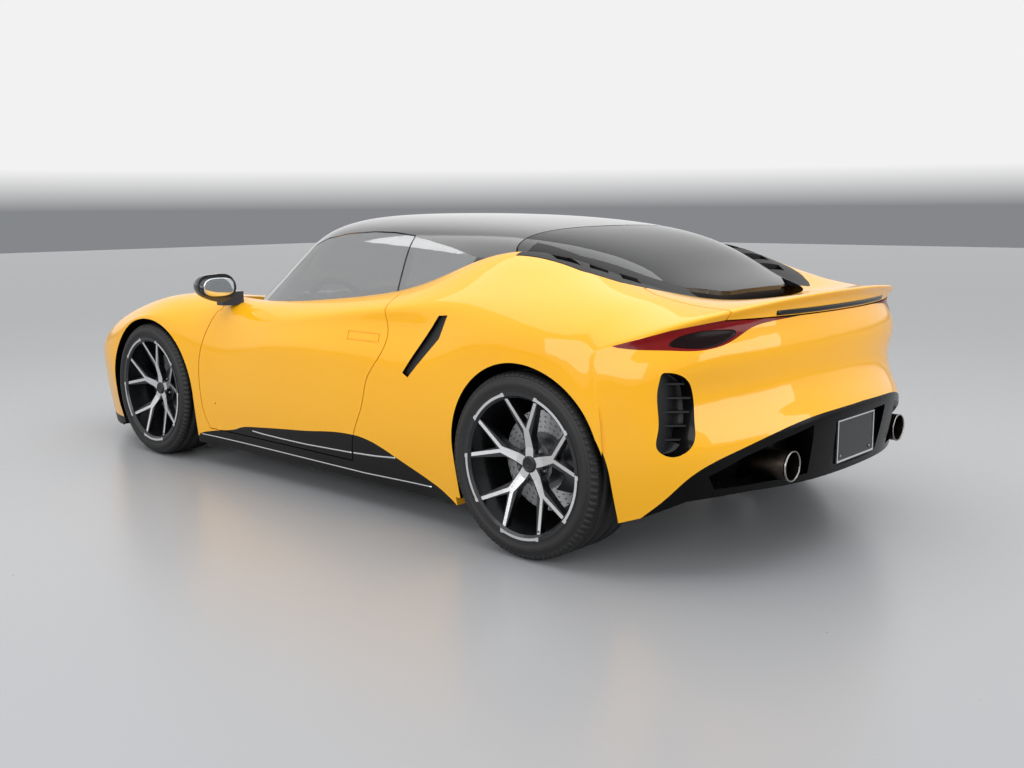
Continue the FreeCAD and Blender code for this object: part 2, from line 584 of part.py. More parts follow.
def build_shells():
    # The yellow body as one block, and the dome as nested blocks.
    columns = skin_columns()
    block = span_box(-half_length - overrun, half_length + overrun, -half_width - overrun,
                     half_width + overrun, ground_clearance, body_height)
    body = inner_side(block.cut(wells()), net_face(columns), V(0, 0, up(20)))
    dome_columns = [[point(row) for row in column] for column in dome_shares]
    dome_block = span_box(station(160), station(-6), -half_width, half_width, up(57),
                          body_height + overrun)
    probe = V(0, 0, up(80))
    layers = {}
    for name, depth in (("outer", 0), ("glass", glass_thickness), ("roof", roof_thickness),
                        ("lid", lid_thickness / 2), ("grown", -panel_gap)):
        layers[name] = inner_side(dome_block, net_face(inset_columns(dome_columns, depth)), probe)
    return columns, body, layers


# The floor sweeps up behind the rear wheels.
sweep_shares = [(118, 9), (155, 18.2), (169, 23.2), (183, 24.8), (215, 25.4), (215, 0), (118, 0)]


def under_sweep(rise):
    outline = [(station(s), up(z) + (rise if z else 0)) for s, z in sweep_shares]
    return side_prism(outline, -half_width - overrun, half_width + overrun)


columns, body, dome = build_shells()
body = body.cut(under_sweep(0))
glass_shell = dome["outer"].cut(dome["glass"])
roof_shell = dome["outer"].cut(dome["roof"])
lid_shell = dome["outer"].cut(dome["lid"])

# Left door zone and its grown twin that clears it.
left_door = door_zone(0).cut(sill_zone(panel_gap))
left_door_space = door_zone(panel_gap).cut(sill_zone(0))
door_spaces = joined([left_door_space, other_side(left_door_space)])

cabin = span_box(cabin_rear_x, cabin_front_x, -door_inner_y, door_inner_y, floor_top, body_height)
front_bay = span_box(bonnet_rear_x, bay_front_x, -bay_half_width, bay_half_width, bay_floor_z,
                        body_height)
engine_bay = span_box(station(178), cabin_rear_x - bulkhead_thickness, -engine_bay_half_width,
                      engine_bay_half_width, floor_top, body_height)
engine_bay = engine_bay.cut(under_sweep(floor_thickness))
behind_hinge = span_box(-half_length, tailgate_hinge_x + tailgate_edge_radius + panel_gap,
                        -half_width, half_width, 0, body_height + overrun)
bare_body = body.cut(dome["outer"])
lower_body = bare_body.cut(dome["grown"].common(behind_hinge))
cabin_below_cowl = span_box(cabin_rear_x, cabin_front_x, -door_inner_y, door_inner_y, floor_top,
                            up(cowl_share))


# Under skin: the body surface moved inwards, used where a panel is thinner than its zone.
def under_skin(depth, low, high):
    region = Part.makeBox(high.x - low.x, high.y - low.y, high.z - low.z, low).cut(wells())
    probe = V((low.x + high.x) / 2, (low.y + high.y) / 2, low.z + running_clearance)
    return inner_side(region, net_face(inset_columns(columns, depth)), probe)


hinge_height_shares = (27, 42)
post_inner_y = 630.0
post_outer_y = 684.0
post_length = 190.0


def door_hinge_leaves():
    # Two leaves per door reach out from the post and carry the hinge pins.
    parts = []
    for share in hinge_height_shares:
        low_z = up(share)
        high_z = low_z + hinge_leaf
        leaf = span_box(door_hinge_x - hinge_leaf / 2, door_hinge_x + hinge_leaf / 2,
                        post_outer_y, door_hinge_y, low_z, high_z)
        eye = tube_z(door_hinge_x, door_hinge_y, hinge_leaf / 2, low_z, high_z)
        pin = tube_z(door_hinge_x, door_hinge_y, hinge_pin_radius, low_z - pin_length,
                     high_z + pin_length)
        parts.append(joined([leaf, eye, pin]))
    return parts


def hinge_slots():
    parts = []
    for share in hinge_height_shares:
        low_z = up(share) - panel_gap
        high_z = up(share) + hinge_leaf + panel_gap
        parts.append(span_box(door_hinge_x - hinge_leaf / 2 - panel_gap,
                              door_hinge_x + door_barrel_radius, 0, door_hinge_y, low_z, high_z))
        parts.append(tube_z(door_hinge_x, door_hinge_y, door_barrel_radius + 2 * panel_gap,
                            low_z, high_z))
        parts.append(tube_z(door_hinge_x, door_hinge_y, hinge_pin_radius + running_clearance,
                            low_z - pin_length, high_z + pin_length))
    return parts


def door_left():
    outer = body.common(left_door).cut(dome["outer"])
    behind_glass = span_box(station(102), station(66), 0, half_width, 0, body_height)
    outer = outer.cut(dome["grown"].common(behind_glass))
    card = span_box(station(64), station(26), door_inner_y, half_width, up(57), up(67))
    card = card.common(dome["glass"])
    barrel = tube_z(door_hinge_x, door_hinge_y, door_barrel_radius, sill_top, up(48))
    barrel = barrel.cut(sill_zone(panel_gap))
    return carve(joined([outer, card, barrel]), hinge_slots() + [handle_groove()])


def handle_groove():
    # The joint round the flush handle, a few millimetres deep.
    outer = span_box(station(69), station(61.3), door_inner_y, half_width + overrun, up(58.6), up(61.6))
    inner = span_box(station(69) + handle_joint, station(61.3) - handle_joint, door_inner_y,
                     half_width + overrun, up(58.6) + handle_joint, up(61.6) - handle_joint)
    near = body.common(span_box(station(75), station(55), door_inner_y, half_width, up(50), up(70)))
    return outer.cut(inner).cut(near.translated(V(0, -handle_joint, 0)))


def door_nose_swing():
    return turned_about_hinge(nose_height_shares, nose_radius_shares, door_nose_radius, panel_gap)


def door_recess():
    # Room under the wing for the nose of the door as it swings in.
    swing = door_nose_swing()
    low = V(door_hinge_x, post_outer_y - overrun, floor_top)
    high = V(front_axle_x - front_arch_radius, half_width + overrun, body_height)
    behind_nose = span_box(door_hinge_x, high.x, low.y, door_hinge_y, floor_top,
                           up(nose_slim_share))
    inner = swing.common(under_skin(lid_thickness, low, high))
    return inner.fuse(swing.common(behind_nose))


def bonnet_zone(grow):
    flat = mirrored_outline(bonnet_shares)
    wire = Part.makePolygon([V(x, y, bay_floor_z) for x, y in flat + flat[:1]])
    plan = Part.Face(wire)
    if grow:
        plan = plan.makeOffset2D(grow)
    return plan.extrude(V(0, 0, body_height))


def bonnet():
    low = V(bonnet_rear_x - overrun, -half_width * 0.7, bay_floor_z)
    high = V(half_length, half_width * 0.7, body_height)
    under = under_skin(bonnet_thickness, low, high)
    panel = body.cut(dome["grown"]).common(bonnet_zone(0)).cut(under)
    # The rear edge is round about the hinge line, so that it turns in its gap.
    round_edge = tube_y(bonnet_hinge_x, bonnet_hinge_z, bonnet_hinge_x - bonnet_rear_x, -half_width,
                        half_width)
    ahead = span_box(bonnet_hinge_x, half_length, -half_width, half_width, 0, body_height)
    panel = panel.common(joined([round_edge, ahead]))
    return carve(panel, bonnet_pins(running_clearance))


def bonnet_pins(grow):
    # One short pin in each wing carries the rear corner of the bonnet.
    pin = tube_y(bonnet_hinge_x, bonnet_hinge_z, bonnet_pin_radius + grow, bonnet_pin_y - grow,
                 bonnet_pin_y + bonnet_pin_reach)
    return [pin, other_side(pin)]


def deck_zone(grow):
    flat = mirrored_outline(deck_shares)
    wire = Part.makePolygon([V(x, y, up(deck_floor_share) - grow) for x, y in flat + flat[:1]])
    plan = Part.Face(wire)
    if grow:
        plan = plan.makeOffset2D(grow)
    return plan.extrude(V(0, 0, body_height))


lamp_top_shares = [(144.5, 65.3), (155, 67.6), (163.7, 69.7), (176, 72), (185.2, 73.9), (188.5, 75),
                   (215, 75)]
lamp_low_shares = [(215, 72.2), (188.3, 72.2), (185.5, 71.3), (181, 69.8), (179.2, 67.5),
                   (177.2, 65.6), (174.2, 64.6), (164.5, 64.4), (155, 64.5), (147, 64.9)]
bumper_shares = [(102, 55), (113, 57.5), (130, 62)] + lamp_top_shares + [(215, 5), (102, 5)]
diffuser_shares = [(0, 45.2), (20, 44.8), (37.4, 43.6), (52, 41), (66, 37.3), (80.2, 30.4),
                   (84.3, 23.8), (86.4, 18.9), (87.2, 15), (87.2, 0), (0, 0)]
lamp_depth = 70.0


def lamp_band():
    low = [V(station(s), -half_width, up(z)) for s, z in lamp_low_shares]
    high = [V(station(s), -half_width, up(z)) for s, z in lamp_top_shares]
    face = part_curved_face(low[1:], high + low[:1])
    return face.extrude(V(0, 2 * half_width, 0))


def bumper_zone():
    return side_prism(side_points(bumper_shares), -half_width - overrun, half_width + overrun)


def part_curved_face(curved, straight):
    # A face whose edge runs smoothly through the first points and straight through the rest.
    corners = [curved[-1]] + straight + [curved[0]]
    edges = [spline_wire(curved)]
    edges += [Part.makeLine(a, b) for a, b in zip(corners, corners[1:])]
    return Part.Face(Part.Wire(edges))


def diffuser_zone():
    x = -half_length - overrun
    half = [V(x, across(y), up(z)) for y, z in diffuser_shares]
    near = part_curved_face(half[:-2], half[-2:]).extrude(V(station(137) - x, 0, 0))
    return near.fuse(other_side(near))


# Front lamps, grille, splitter, tail details.
front_lamp_shares = [(-66, 50), (-60, 66), (-34, 78), (-26, 80), (-30, 84), (-44, 80), (-62, 72),
                     (-72, 56)]
grille_shares = [(-46, 18), (46, 18), (40, 33), (-40, 33)]
side_intake_shares = [(52, 16), (78, 16), (82, 36), (54, 33)]
front_depth = 120.0
slat_thickness = 6.0
slat_count = 5
splitter_thickness = 16.0
lamp_wall = 55.0
plate_width = 300.0
plate_height = 160.0
plate_thickness = 5.0
plate_centre_share = 34.2
tip_radius = 52.0
tip_wall = 4.0
tip_length = 130.0
tip_recess = 50.0
plate_recess_depth = 34.0
tip_centre_share = 45.5
tip_height_share = 31.0
plate_recess_shares = [(-19, 27), (19, 27), (21, 41.8), (-21, 41.8)]
side_recess_shares = [(33.5, 27.3), (34.5, 41.6), (52, 38.4), (64, 35.2), (75, 30.4), (72, 26.4),
                      (54, 27)]
recess_wall = 95.0
vent_shares = [(86.6, 58.8), (82.7, 58), (78.8, 54.8), (77.5, 50.5), (78.3, 45.5), (81.5, 38),
               (86, 36.2), (88.3, 37.5), (88.6, 43), (88.5, 51.7), (88, 57)]
lamp_core_shares = [(182, 0), (179.7, 36), (175.6, 50.7), (169.6, 63.3), (162.5, 73.9),
                    (153.7, 81.8), (144.8, 86), (120, 86), (120, 0)]
vent_face_shares = [(183.5, 50), (176.5, 66), (169, 77.5), (160.5, 85), (151, 90), (151, 50)]


def front_lamp_zone():
    return plan_prism([(station(s), across(y)) for s, y in front_lamp_shares], up(45), up(75))


def front_openings():
    grille = [(across(y), up(z)) for y, z in grille_shares]
    intake = [(across(y), up(z)) for y, z in side_intake_shares]
    centre = rear_prism(grille, station(-88), half_length + overrun)
    side = rear_prism(intake, station(-70), half_length + overrun)
    return [centre, side, other_side(side)]


def grille_zone():
    return joined(front_openings())


def grille_slats():
    # Level slats across each front opening, set back from the skin.
    low = V(station(-66), -half_width, ground_clearance)
    high = V(half_length + overrun, half_width, up(60))
    set_back = under_skin(lid_thickness, low, high)
    deep_back = under_skin(lid_thickness * 2, low, high)
    band = set_back.cut(deep_back)
    bars = []
    for i in range(slat_count):
        z = up(18) + (up(34) - up(18)) * (i + 0.5) / slat_count
        bars.append(span_box(station(-60), half_length, -half_width, half_width, z,
                             z + slat_thickness))
    for i in range(-slat_count, slat_count + 1):
        y = across(i * 15)
        bars.append(span_box(station(-60), half_length, y, y + slat_thickness, 0, up(40)))
    return band.common(joined(bars)).common(grille_zone())


def front_splitter():
    # A thin dark lip under the nose, standing a little proud of the skin.
    region = span_box(station(-40), half_length + overrun, -half_width - overrun,
                      half_width + overrun, ground_clearance - splitter_thickness,
                      ground_clearance)
    region = region.cut(wells())
    return inner_side(region, net_face(columns),
                      V(station(-60), 0, ground_clearance - splitter_thickness / 2))


def exhaust_tips():
    tips = []
    for side in (1, -1):
        y = side * across(tip_centre_share)
        start = V(-half_length + tip_recess, y, up(tip_height_share))
        outer = Part.makeCylinder(tip_radius, tip_length, start, V(1, 0, 0))
        inner = Part.makeCylinder(tip_radius - tip_wall, tip_length - tip_wall, start, V(1, 0, 0))
        tips.append(outer.cut(inner))
    return Part.makeCompound(tips)


def diffuser_cuts():
    centre = [(across(y), up(z)) for y, z in plate_recess_shares]
    side = [(across(y), up(z)) for y, z in side_recess_shares]
    outside = -half_length - overrun
    low = V(outside, -half_width, up(20))
    high = V(station(150), half_width, up(60))
    core = under_skin(recess_wall, low, high)
    cuts = [rear_prism(centre, outside, -half_length + plate_recess_depth)]
    pocket = rear_prism(side, outside, station(150)).cut(core)
    cuts += [pocket, other_side(pocket)]
    for sign in (1, -1):
        y = sign * across(tip_centre_share)
        start = V(outside, y, up(tip_height_share))
        cuts.append(Part.makeCylinder(tip_radius, overrun + tip_recess + tip_length, start,
                                      V(1, 0, 0)))
    return cuts


def rear_plate():
    x = -half_length + plate_recess_depth - plate_thickness
    z = up(plate_centre_share)
    plate = span_box(x, x + plate_thickness, -plate_width / 2, plate_width / 2,
                     z - plate_height / 2, z + plate_height / 2)
    return plate


def vent_zone():
    curve = Part.BSplineCurve()
    curve.interpolate([V(-half_length, across(y), up(z)) for y, z in vent_shares], True)
    face = Part.Face(Part.Wire(curve.toShape()))
    near = face.extrude(V(station(158) + half_length, 0, 0))
    return near.fuse(other_side(near))


def vent_slats():
    zone = vent_zone()
    bars = []
    for i in range(slat_count):
        z = up(38) + (up(57) - up(38)) * (i + 0.5) / slat_count
        bars.append(span_box(-half_length, station(158), -half_width, half_width, z,
                             z + slat_thickness))
    face = plan_prism([(station(s), across(y)) for s, y in vent_face_shares], 0, body_height)
    back = span_box(station(162), station(160), -half_width, half_width, 0, body_height)
    bars = joined(bars).common(face.fuse(other_side(face)))
    return joined(bars.Solids + [back]).common(zone).common(body)


def lamp_core():
    # What lies deeper than the tail lamps.
    flat = mirrored_outline(lamp_core_shares)
    return plan_prism(flat, up(40), body_height)


lamp_region = (V(station(-10), -half_width, up(42)), V(half_length, half_width, body_height))
under_front = under_skin(lamp_wall, lamp_region[0], lamp_region[1])
front_zone = span_box(door_hinge_x + panel_gap, half_length + overrun, -half_width - overrun,
                      half_width + overrun, floor_top, body_height)
rear_zone = span_box(-half_length - overrun, station(60), -half_width - overrun,
                     half_width + overrun, floor_top, body_height)
left_half = span_box(-half_length - overrun, half_length, 0, half_width + overrun, 0, body_height)
liner_wall = 6.0
bulkhead = span_box(cabin_rear_x - bulkhead_thickness, cabin_rear_x, -door_inner_y, door_inner_y,
                    floor_top, up(62))


def liner_zone(x, axle_z, arch_radius, inner_y, lip_width):
    # The deep part of a wheel well grown by the wall of its liner.
    radius = arch_radius + well_depth + liner_wall
    lip_y = half_width - lip_width
    return tunnel(x, axle_z, radius, inner_y - liner_wall, lip_y, floor_top)


def liner_zones():
    front = liner_zone(front_axle_x, front_tyre_radius, front_arch_radius, front_well_inner,
                       front_lip_width)
    rear = liner_zone(rear_axle_x, rear_tyre_radius, rear_arch_radius, rear_well_inner,
                      rear_lip_width)
    return joined([front, rear, other_side(front), other_side(rear)])


def sills():
    # Dark blades under the doors between the wheel wells.
    band = span_box(station(84.5), station(14), door_inner_y, half_width, 0, up(30))
    return body.common(band).common(sill_zone(0))


intake_side_shares = [(84.6, 69.7), (82.6, 69.3), (75.2, 50.2), (76.4, 48.9), (83.2, 62.3)]
intake_low_y = 770.0
intake_set_back = 16.0


def side_intake_zone():
    return side_prism(side_points(intake_side_shares), intake_low_y, half_width + overrun)


def side_intakes():
    # A dark slanted insert, set a little deeper than the flank round it.
    low = V(station(90), intake_low_y - overrun, up(40))
    high = V(station(70), half_width + overrun, up(75))
    plug = under_skin(intake_set_back, low, high)
    plug = plug.common(side_intake_zone()).cut(dome["outer"])
    return both_sides(plug)


def tub():
    # Floor, sill boxes, hinge posts and the bulkhead behind the seats.
    slab = span_box(-half_length, half_length, -half_width, half_width, ground_clearance,
                    floor_top)
    floor = carve(body.common(slab), [sills_left, other_side(sills_left)])
    parts = [floor, bulkhead]
    for side in (1, -1):
        post = span_box(door_hinge_x - hinge_leaf, cabin_front_x, post_inner_y, post_outer_y,
                        floor_top, up(52))
        leaves = door_hinge_leaves()
        sill = span_box(cabin_rear_x, cabin_front_x, post_inner_y, post_outer_y, floor_top,
                        sill_top - panel_gap)
        for part in [post, sill] + leaves:
            parts.append(part if side > 0 else other_side(part))
    for x in (jack_front_x, jack_rear_x):
        for y in (jack_y, -jack_y):
            parts.append(tube_z(x, y, jack_radius, ground_clearance - jack_drop, floor_top))
    return joined(parts)


jack_front_x = 550.0
jack_rear_x = -750.0
jack_y = 600.0
jack_radius = 38.0
jack_drop = 12.0
# The tail lid's glass in plan, the dark strips beside it and the floor line of the strips.
lid_glass_shares = [(84, 0), (84, 76), (90.5, 76), (90.5, 59.3), (98.2, 56.5), (119.1, 46.4), (134.5, 39.2),
                    (145.3, 25), (146.6, 20), (147, 0)]
lid_strip_shares = [(90.6, 58), (98.2, 55.5), (119.1, 45.4), (134.5, 38.2), (141, 39.6),
                    (149.3, 39.6), (149, 41.7), (144.7, 47.5), (135.3, 57), (123.5, 64.4),
                    (107, 69.2), (90.6, 71)]
strip_floor_shares = [(90.6, 84), (107, 80.4), (131.9, 76), (152, 74.3), (152, 104), (90.6, 104)]
lip_depth_share = 3.5
louvre_shares = [[(93, 62.5), (97, 60.6), (104, 66), (97.5, 68.2)],
                 [(101, 58), (108.5, 54.6), (114.5, 61), (107.5, 64.5)],
                 [(113, 52.5), (120, 49.2), (127, 54.8), (120.5, 59.5)]]
louvre_floor_shares = [84.3, 81.6, 78.6]


def strip_zone(grow):
    near = [(station(s), across(y)) for s, y in lid_strip_shares]
    plan = Part.Face(Part.makePolygon([V(x, y, up(60)) for x, y in near + near[:1]]))
    floor = side_prism(side_points(strip_floor_shares), 0, half_width)
    if grow:
        plan = plan.makeOffset2D(grow)
        floor = floor.fuse(floor.translated(V(0, 0, -grow)))
    zone = plan.extrude(V(0, 0, body_height)).common(floor)
    return zone


def lid_frame():
    # Dark strips with openings beside the glass, and the lip under its rear edge.
    strip = joined([body, dome["outer"]]).common(strip_zone(0))
    openings = []
    for outline, low in zip(louvre_shares, louvre_floor_shares):
        points = [(station(s), across(y)) for s, y in outline]
        openings.append(plan_prism(points, up(low), body_height))
    strip = carve(strip, openings)
    rear = [(s, y) for s, y in lid_glass_shares if s > 119]
    inner = [(s - lip_depth_share, y - lip_depth_share if y else 0) for s, y in rear]
    lip_outline = rear + [(s, y) for s, y in reversed(inner)]
    lip = plan_prism([(station(s), across(y)) for s, y in lip_outline], up(60), body_height)
    lip = lip.common(dome["outer"]).cut(strip)
    lip = carve(lip, [lid_shell, body])
    half = joined([strip, lip])
    return joined([half, other_side(half)])


left_door_solid = door_left()
write("door_left", left_door_solid)
write("door_right", other_side(left_door_solid))
recess = door_recess()
liners = liner_zones()
sills_left = sills()
tub_solid = tub()
common_cuts = [liners, tub_solid, left_door_space, other_side(left_door_space), sills_left,
               other_side(sills_left)]
clam = carve(lower_body.common(front_zone),
             [cabin_below_cowl, front_bay] + common_cuts + [recess, other_side(recess),
                                                    bonnet_zone(bonnet_gap)])
lamp_zone = front_lamp_zone()
lamp_zone = joined([lamp_zone, other_side(lamp_zone)])
grille_space = grille_zone()
headlights = clam.common(lamp_zone).cut(under_front)
write("headlights", headlights)
write("front_body", joined([carve(clam, [headlights, grille_space])] + bonnet_pins(0)))
write("bonnet", bonnet())
rear = carve(lower_body.common(rear_zone), [cabin, engine_bay] + common_cuts + [bulkhead])
strip_space = strip_zone(panel_gap)
rear = carve(rear, [deck_zone(panel_gap), strip_space, other_side(strip_space)])
tail = rear.common(bumper_zone())
intake_left = side_intake_zone()
quarters = carve(rear.cut(bumper_zone()), [intake_left, other_side(intake_left)])
write("side_intakes", side_intakes())
write("quarter_left", quarters.common(left_half))
write("quarter_right", quarters.cut(left_half))
bonnet_space = bonnet_zone(bonnet_gap)
liner_cuts = [tub_solid, bonnet_space, recess, other_side(recess)]
write("wheel_liners", carve(body.common(liners), liner_cuts))
write("side_sills", both_sides(carve(sills_left, [liners, tub_solid])))
write("tub", tub_solid)
diffuser = carve(tail.common(diffuser_zone()), diffuser_cuts())
write("rear_diffuser", diffuser)
lamps = tail.common(lamp_band())
bar_block = span_box(-half_length, 0, -across(39), across(39), 0, body_height)
write("taillights", carve(lamps, [bar_block, lamp_core()]))
write("light_bar", lamps.common(bar_block).cut(lamp_core()))
write("rear_bumper", carve(tail, [diffuser_zone(), lamps.cut(lamp_core()), vent_zone()]))
write("rear_vents", vent_slats())
strips = joined([strip_zone(0), other_side(strip_zone(0))])
write("tailgate_deck", bare_body.common(deck_zone(0)).cut(strips))
write("tailgate_strips", lid_frame())
write("exhaust_tips", exhaust_tips())
write("rear_plate", rear_plate())
write("front_grille", grille_slats())
write("front_splitter", front_splitter())


# Hinge of the tailgate: hooks under the roof hold pins that turn in plates on the lid.
lug_y = 340.0
lug_width = 14.0
boss_width = 30.0
lug_outline = [(-13, 13), (13, 13), (20, -36), (62, -36), (62, 36), (84, 50), (100, 50), (100, -62),
               (0, -62), (-13, -13)]
boss_neck = 11.0
boss_radius = 17.0


def tailgate_lugs():
    parts = []
    for sign in (1, -1):
        outline = [(tailgate_hinge_x + x, tailgate_hinge_z + z) for x, z in lug_outline]
        lug = side_prism(outline, lug_y, lug_y + lug_width)
        pin = tube_y(tailgate_hinge_x, tailgate_hinge_z, hinge_pin_radius, lug_y,
                     lug_y + lug_width + panel_gap + boss_width)
        for part in (lug, pin):
            parts.append(part if sign > 0 else other_side(part))
    return parts


def tailgate_bosses():
    parts = []
    low_y = lug_y + lug_width + panel_gap
    eye = tube_y(tailgate_hinge_x, tailgate_hinge_z, boss_radius, low_y, low_y + boss_width)
    neck = span_box(tailgate_hinge_x - boss_neck * 2, tailgate_hinge_x + boss_neck, low_y,
                    low_y + boss_width, tailgate_hinge_z, body_height)
    neck = neck.common(dome["glass"])
    bore = tube_y(tailgate_hinge_x, tailgate_hinge_z, hinge_pin_radius + running_clearance,
                  low_y - panel_gap, low_y + boss_width + panel_gap)
    boss = joined([eye, neck]).cut(bore)
    return [boss, other_side(boss)]


# Roof, pillars and glass.
def roof_and_glass():
    glass_half = side_points(door_glass_shares)
    quarter_half = side_points(quarter_glass_shares)
    waist_half = side_points(waist_shares)
    low_y = across(40)
    screen_plan = [V(station(s), across(y), up(50)) for s, y in windscreen_shares]
    screen_face = Part.Face(Part.makePolygon(screen_plan + screen_plan[:1]))
    tall = V(0, 0, body_height + overrun - up(50))
    screen = screen_face.extrude(tall)
    pillar = screen_face.makeOffset2D(pillar_width).extrude(tall)
    side_cuts = []
    for sign in (0, 1):
        for shape in (grown_prism(glass_half, low_y, half_width, panel_gap).cut(pillar),
                      side_prism(quarter_half, low_y, half_width),
                      side_prism(waist_half, low_y, half_width)):
            side_cuts.append(other_side(shape) if sign else shape)
    hinge_round = tube_y(tailgate_hinge_x, tailgate_hinge_z, tailgate_edge_radius + panel_gap,
                         -half_width, half_width)
    behind = span_box(-half_length, tailgate_hinge_x, -half_width, half_width, 0,
                      body_height + overrun)
    lid_space = joined([hinge_round, behind])
    shell = carve(roof_shell, side_cuts + [screen, lid_space])
    write("roof", joined([shell] + tailgate_lugs()))
    swing = door_nose_swing()
    door_corner = side_prism(waist_half, door_inner_y - panel_gap, half_width)
    hinge_swing = tube_y(bonnet_hinge_x, bonnet_hinge_z,
                         bonnet_hinge_x - bonnet_rear_x + panel_gap, -half_width, half_width)
    write("windscreen", carve(glass_shell.common(screen),
                              [swing, other_side(swing), door_corner, other_side(door_corner),
                               hinge_swing]))
    behind_pillar = screen_face.makeOffset2D(pillar_width + panel_gap).extrude(tall)
    door_glass = glass_shell.common(side_prism(glass_half, low_y, half_width)).cut(behind_pillar)
    write("door_glass_left", door_glass)
    write("door_glass_right", other_side(door_glass))
    # The pane stands a little inside the opening's edge, on its bead of glue.
    quarter = glass_shell.common(side_prism(quarter_half, low_y, half_width))
    quarter.translate(V(0, -glue_bed, 0))
    write("quarter_glass", both_sides(quarter))
    hinge_core = tube_y(tailgate_hinge_x, tailgate_hinge_z, tailgate_edge_radius, -half_width,
                        half_width)
    lid_zone = joined([hinge_core, behind])
    above_strip = side_prism(side_points(strip_edge_shares), -half_width, half_width)
    lid_plan = [(station(s), across(y)) for s, y in lid_glass_shares]
    lid_plan += [(x, -y) for x, y in reversed(lid_plan) if y > 0]
    lid = lid_shell.common(lid_zone).common(above_strip)
    lid = lid.common(plan_prism(lid_plan, up(60), body_height + overrun))
    lid = carve(lid, [strip_zone(0), other_side(strip_zone(0))])
    write("tailgate_glass", joined([lid] + tailgate_bosses()))


roof_and_glass()


# Wheels: each is built on the left and mirrored for the right.
spoke_count = 5
stem_end_share = 0.42
tip_angle = 17.0
lip_angle = 19.0
lip_width = 9.0


def ring_profile(points, x, z):
    wire = Part.makePolygon(points + points[:1])
    return Part.Face(wire).revolve(V(x, 0, z), V(0, 1, 0), 360)


def tyre(x, z, radius, width, centre_y):
    half = width / 2
    seat = half - barrel_wall / 2 - 2 * barrel_wall
    side = [(bead_radius, seat), (bead_radius + sidewall_height, half), (radius, half * 0.8)]
    outer = [(r, y) for r, y in side] + [(r, -y) for r, y in reversed(side)]
    inner = [(bead_radius, tyre_wall - seat), (radius - tyre_wall, 0),
             (bead_radius, seat - tyre_wall)]
    points = [V(x + r, centre_y + y, z) for r, y in outer + inner]
    return ring_profile(points, x, z)


def rim(x, z, width, centre_y):
    half = width / 2 - barrel_wall / 2
    outer_y = centre_y + half
    inner_y = centre_y - half
    # The lip leans with the tyre's side, so the two meet face to face.
    lean = (rim_lip_radius - bead_radius) / sidewall_height * barrel_wall * 2.5
    barrel = ring_profile([V(x + r, y, z) for r, y in [
        (bead_radius - barrel_wall, inner_y), (rim_lip_radius, inner_y),
        (rim_lip_radius, inner_y + 2 * barrel_wall - lean),
        (bead_radius, inner_y + 2 * barrel_wall), (bead_radius, outer_y - 2 * barrel_wall),
        (rim_lip_radius, outer_y - 2 * barrel_wall + lean),
        (rim_lip_radius, outer_y), (bead_radius, outer_y), (bead_radius - barrel_wall,
                                                            outer_y - barrel_wall)]], x, z)
    hub_face = outer_y - hub_inset
    front_line = [(0, hub_face), (hub_radius, hub_face), (bead_radius, outer_y - lip_width)]
    back_line = [(bead_radius, outer_y - lip_width - spoke_depth * 0.7),
                 (hub_radius, hub_face - spoke_depth), (0, hub_face - spoke_depth)]
    dish = ring_profile([V(x + r, y, z) for r, y in front_line + back_line], x, z)
    spokes = []
    for i in range(spoke_count):
        spokes.append(y_spoke(x, z, outer_y, 90 + i * 360 / spoke_count))
    spider = joined(spokes).common(dish)
    hub = tube_y(x, z, hub_radius, hub_face - hub_plate, hub_face)
    wheel = joined([barrel, spider, hub])
    bore = tube_y(x, z, spindle_radius + running_clearance, inner_y, outer_y)
    bell_pocket = tube_y(x, z, disc_bell_radius + panel_gap, inner_y, hub_face - hub_plate)
    holes = [bore, bell_pocket]
    for i in range(spoke_count):
        turn = math.radians(90 + (i + 0.5) * 360 / spoke_count)
        holes.append(tube_y(x + bolt_circle / 2 * math.cos(turn),
                            z + bolt_circle / 2 * math.sin(turn), bolt_hole_radius, inner_y,
                            outer_y))
    return wheel.cut(holes)


def y_spoke(x, z, outer_y, angle):
    # A stem from the hub that splits into two arms ending at the barrel.
    stem_end = bead_radius * stem_end_share
    reach = bead_radius - barrel_wall / 2
    tip = math.radians(tip_angle)
    half_arm = spoke_arm_width / 2
    centre = V(reach * math.cos(tip), 0, reach * math.sin(tip))
    side = V(-math.sin(tip), 0, math.cos(tip)) * half_arm
    upper = [V(0, 0, spoke_root_width / 2), V(stem_end, 0, spoke_root_width / 2), centre + side,
             centre - side, V(stem_end + spoke_root_width, 0, 0)]
    lower = [V(p.x, 0, -p.z) for p in reversed(upper[:-1])]
    wire = Part.makePolygon(upper + lower + upper[:1])
    spoke = Part.Face(wire).extrude(V(0, -half_width / 2, 0))
    spoke.rotate(V(0, 0, 0), V(0, 1, 0), -angle)
    spoke.translate(V(x, outer_y, z))
    return spoke


def brake_disc(x, z, hub_back):
    bell_back = hub_back - hub_inset
    bell = tube_y(x, z, disc_bell_radius, bell_back, hub_back)
    inside = tube_y(x, z, disc_bell_radius - barrel_wall, bell_back - disc_thickness,
                    hub_back - barrel_wall)
    rotor = tube_y(x, z, disc_radius, bell_back - disc_thickness, bell_back)
    bore = tube_y(x, z, spindle_radius + running_clearance, bell_back, hub_back)
    return joined([bell, rotor]).cut([inside, bore])


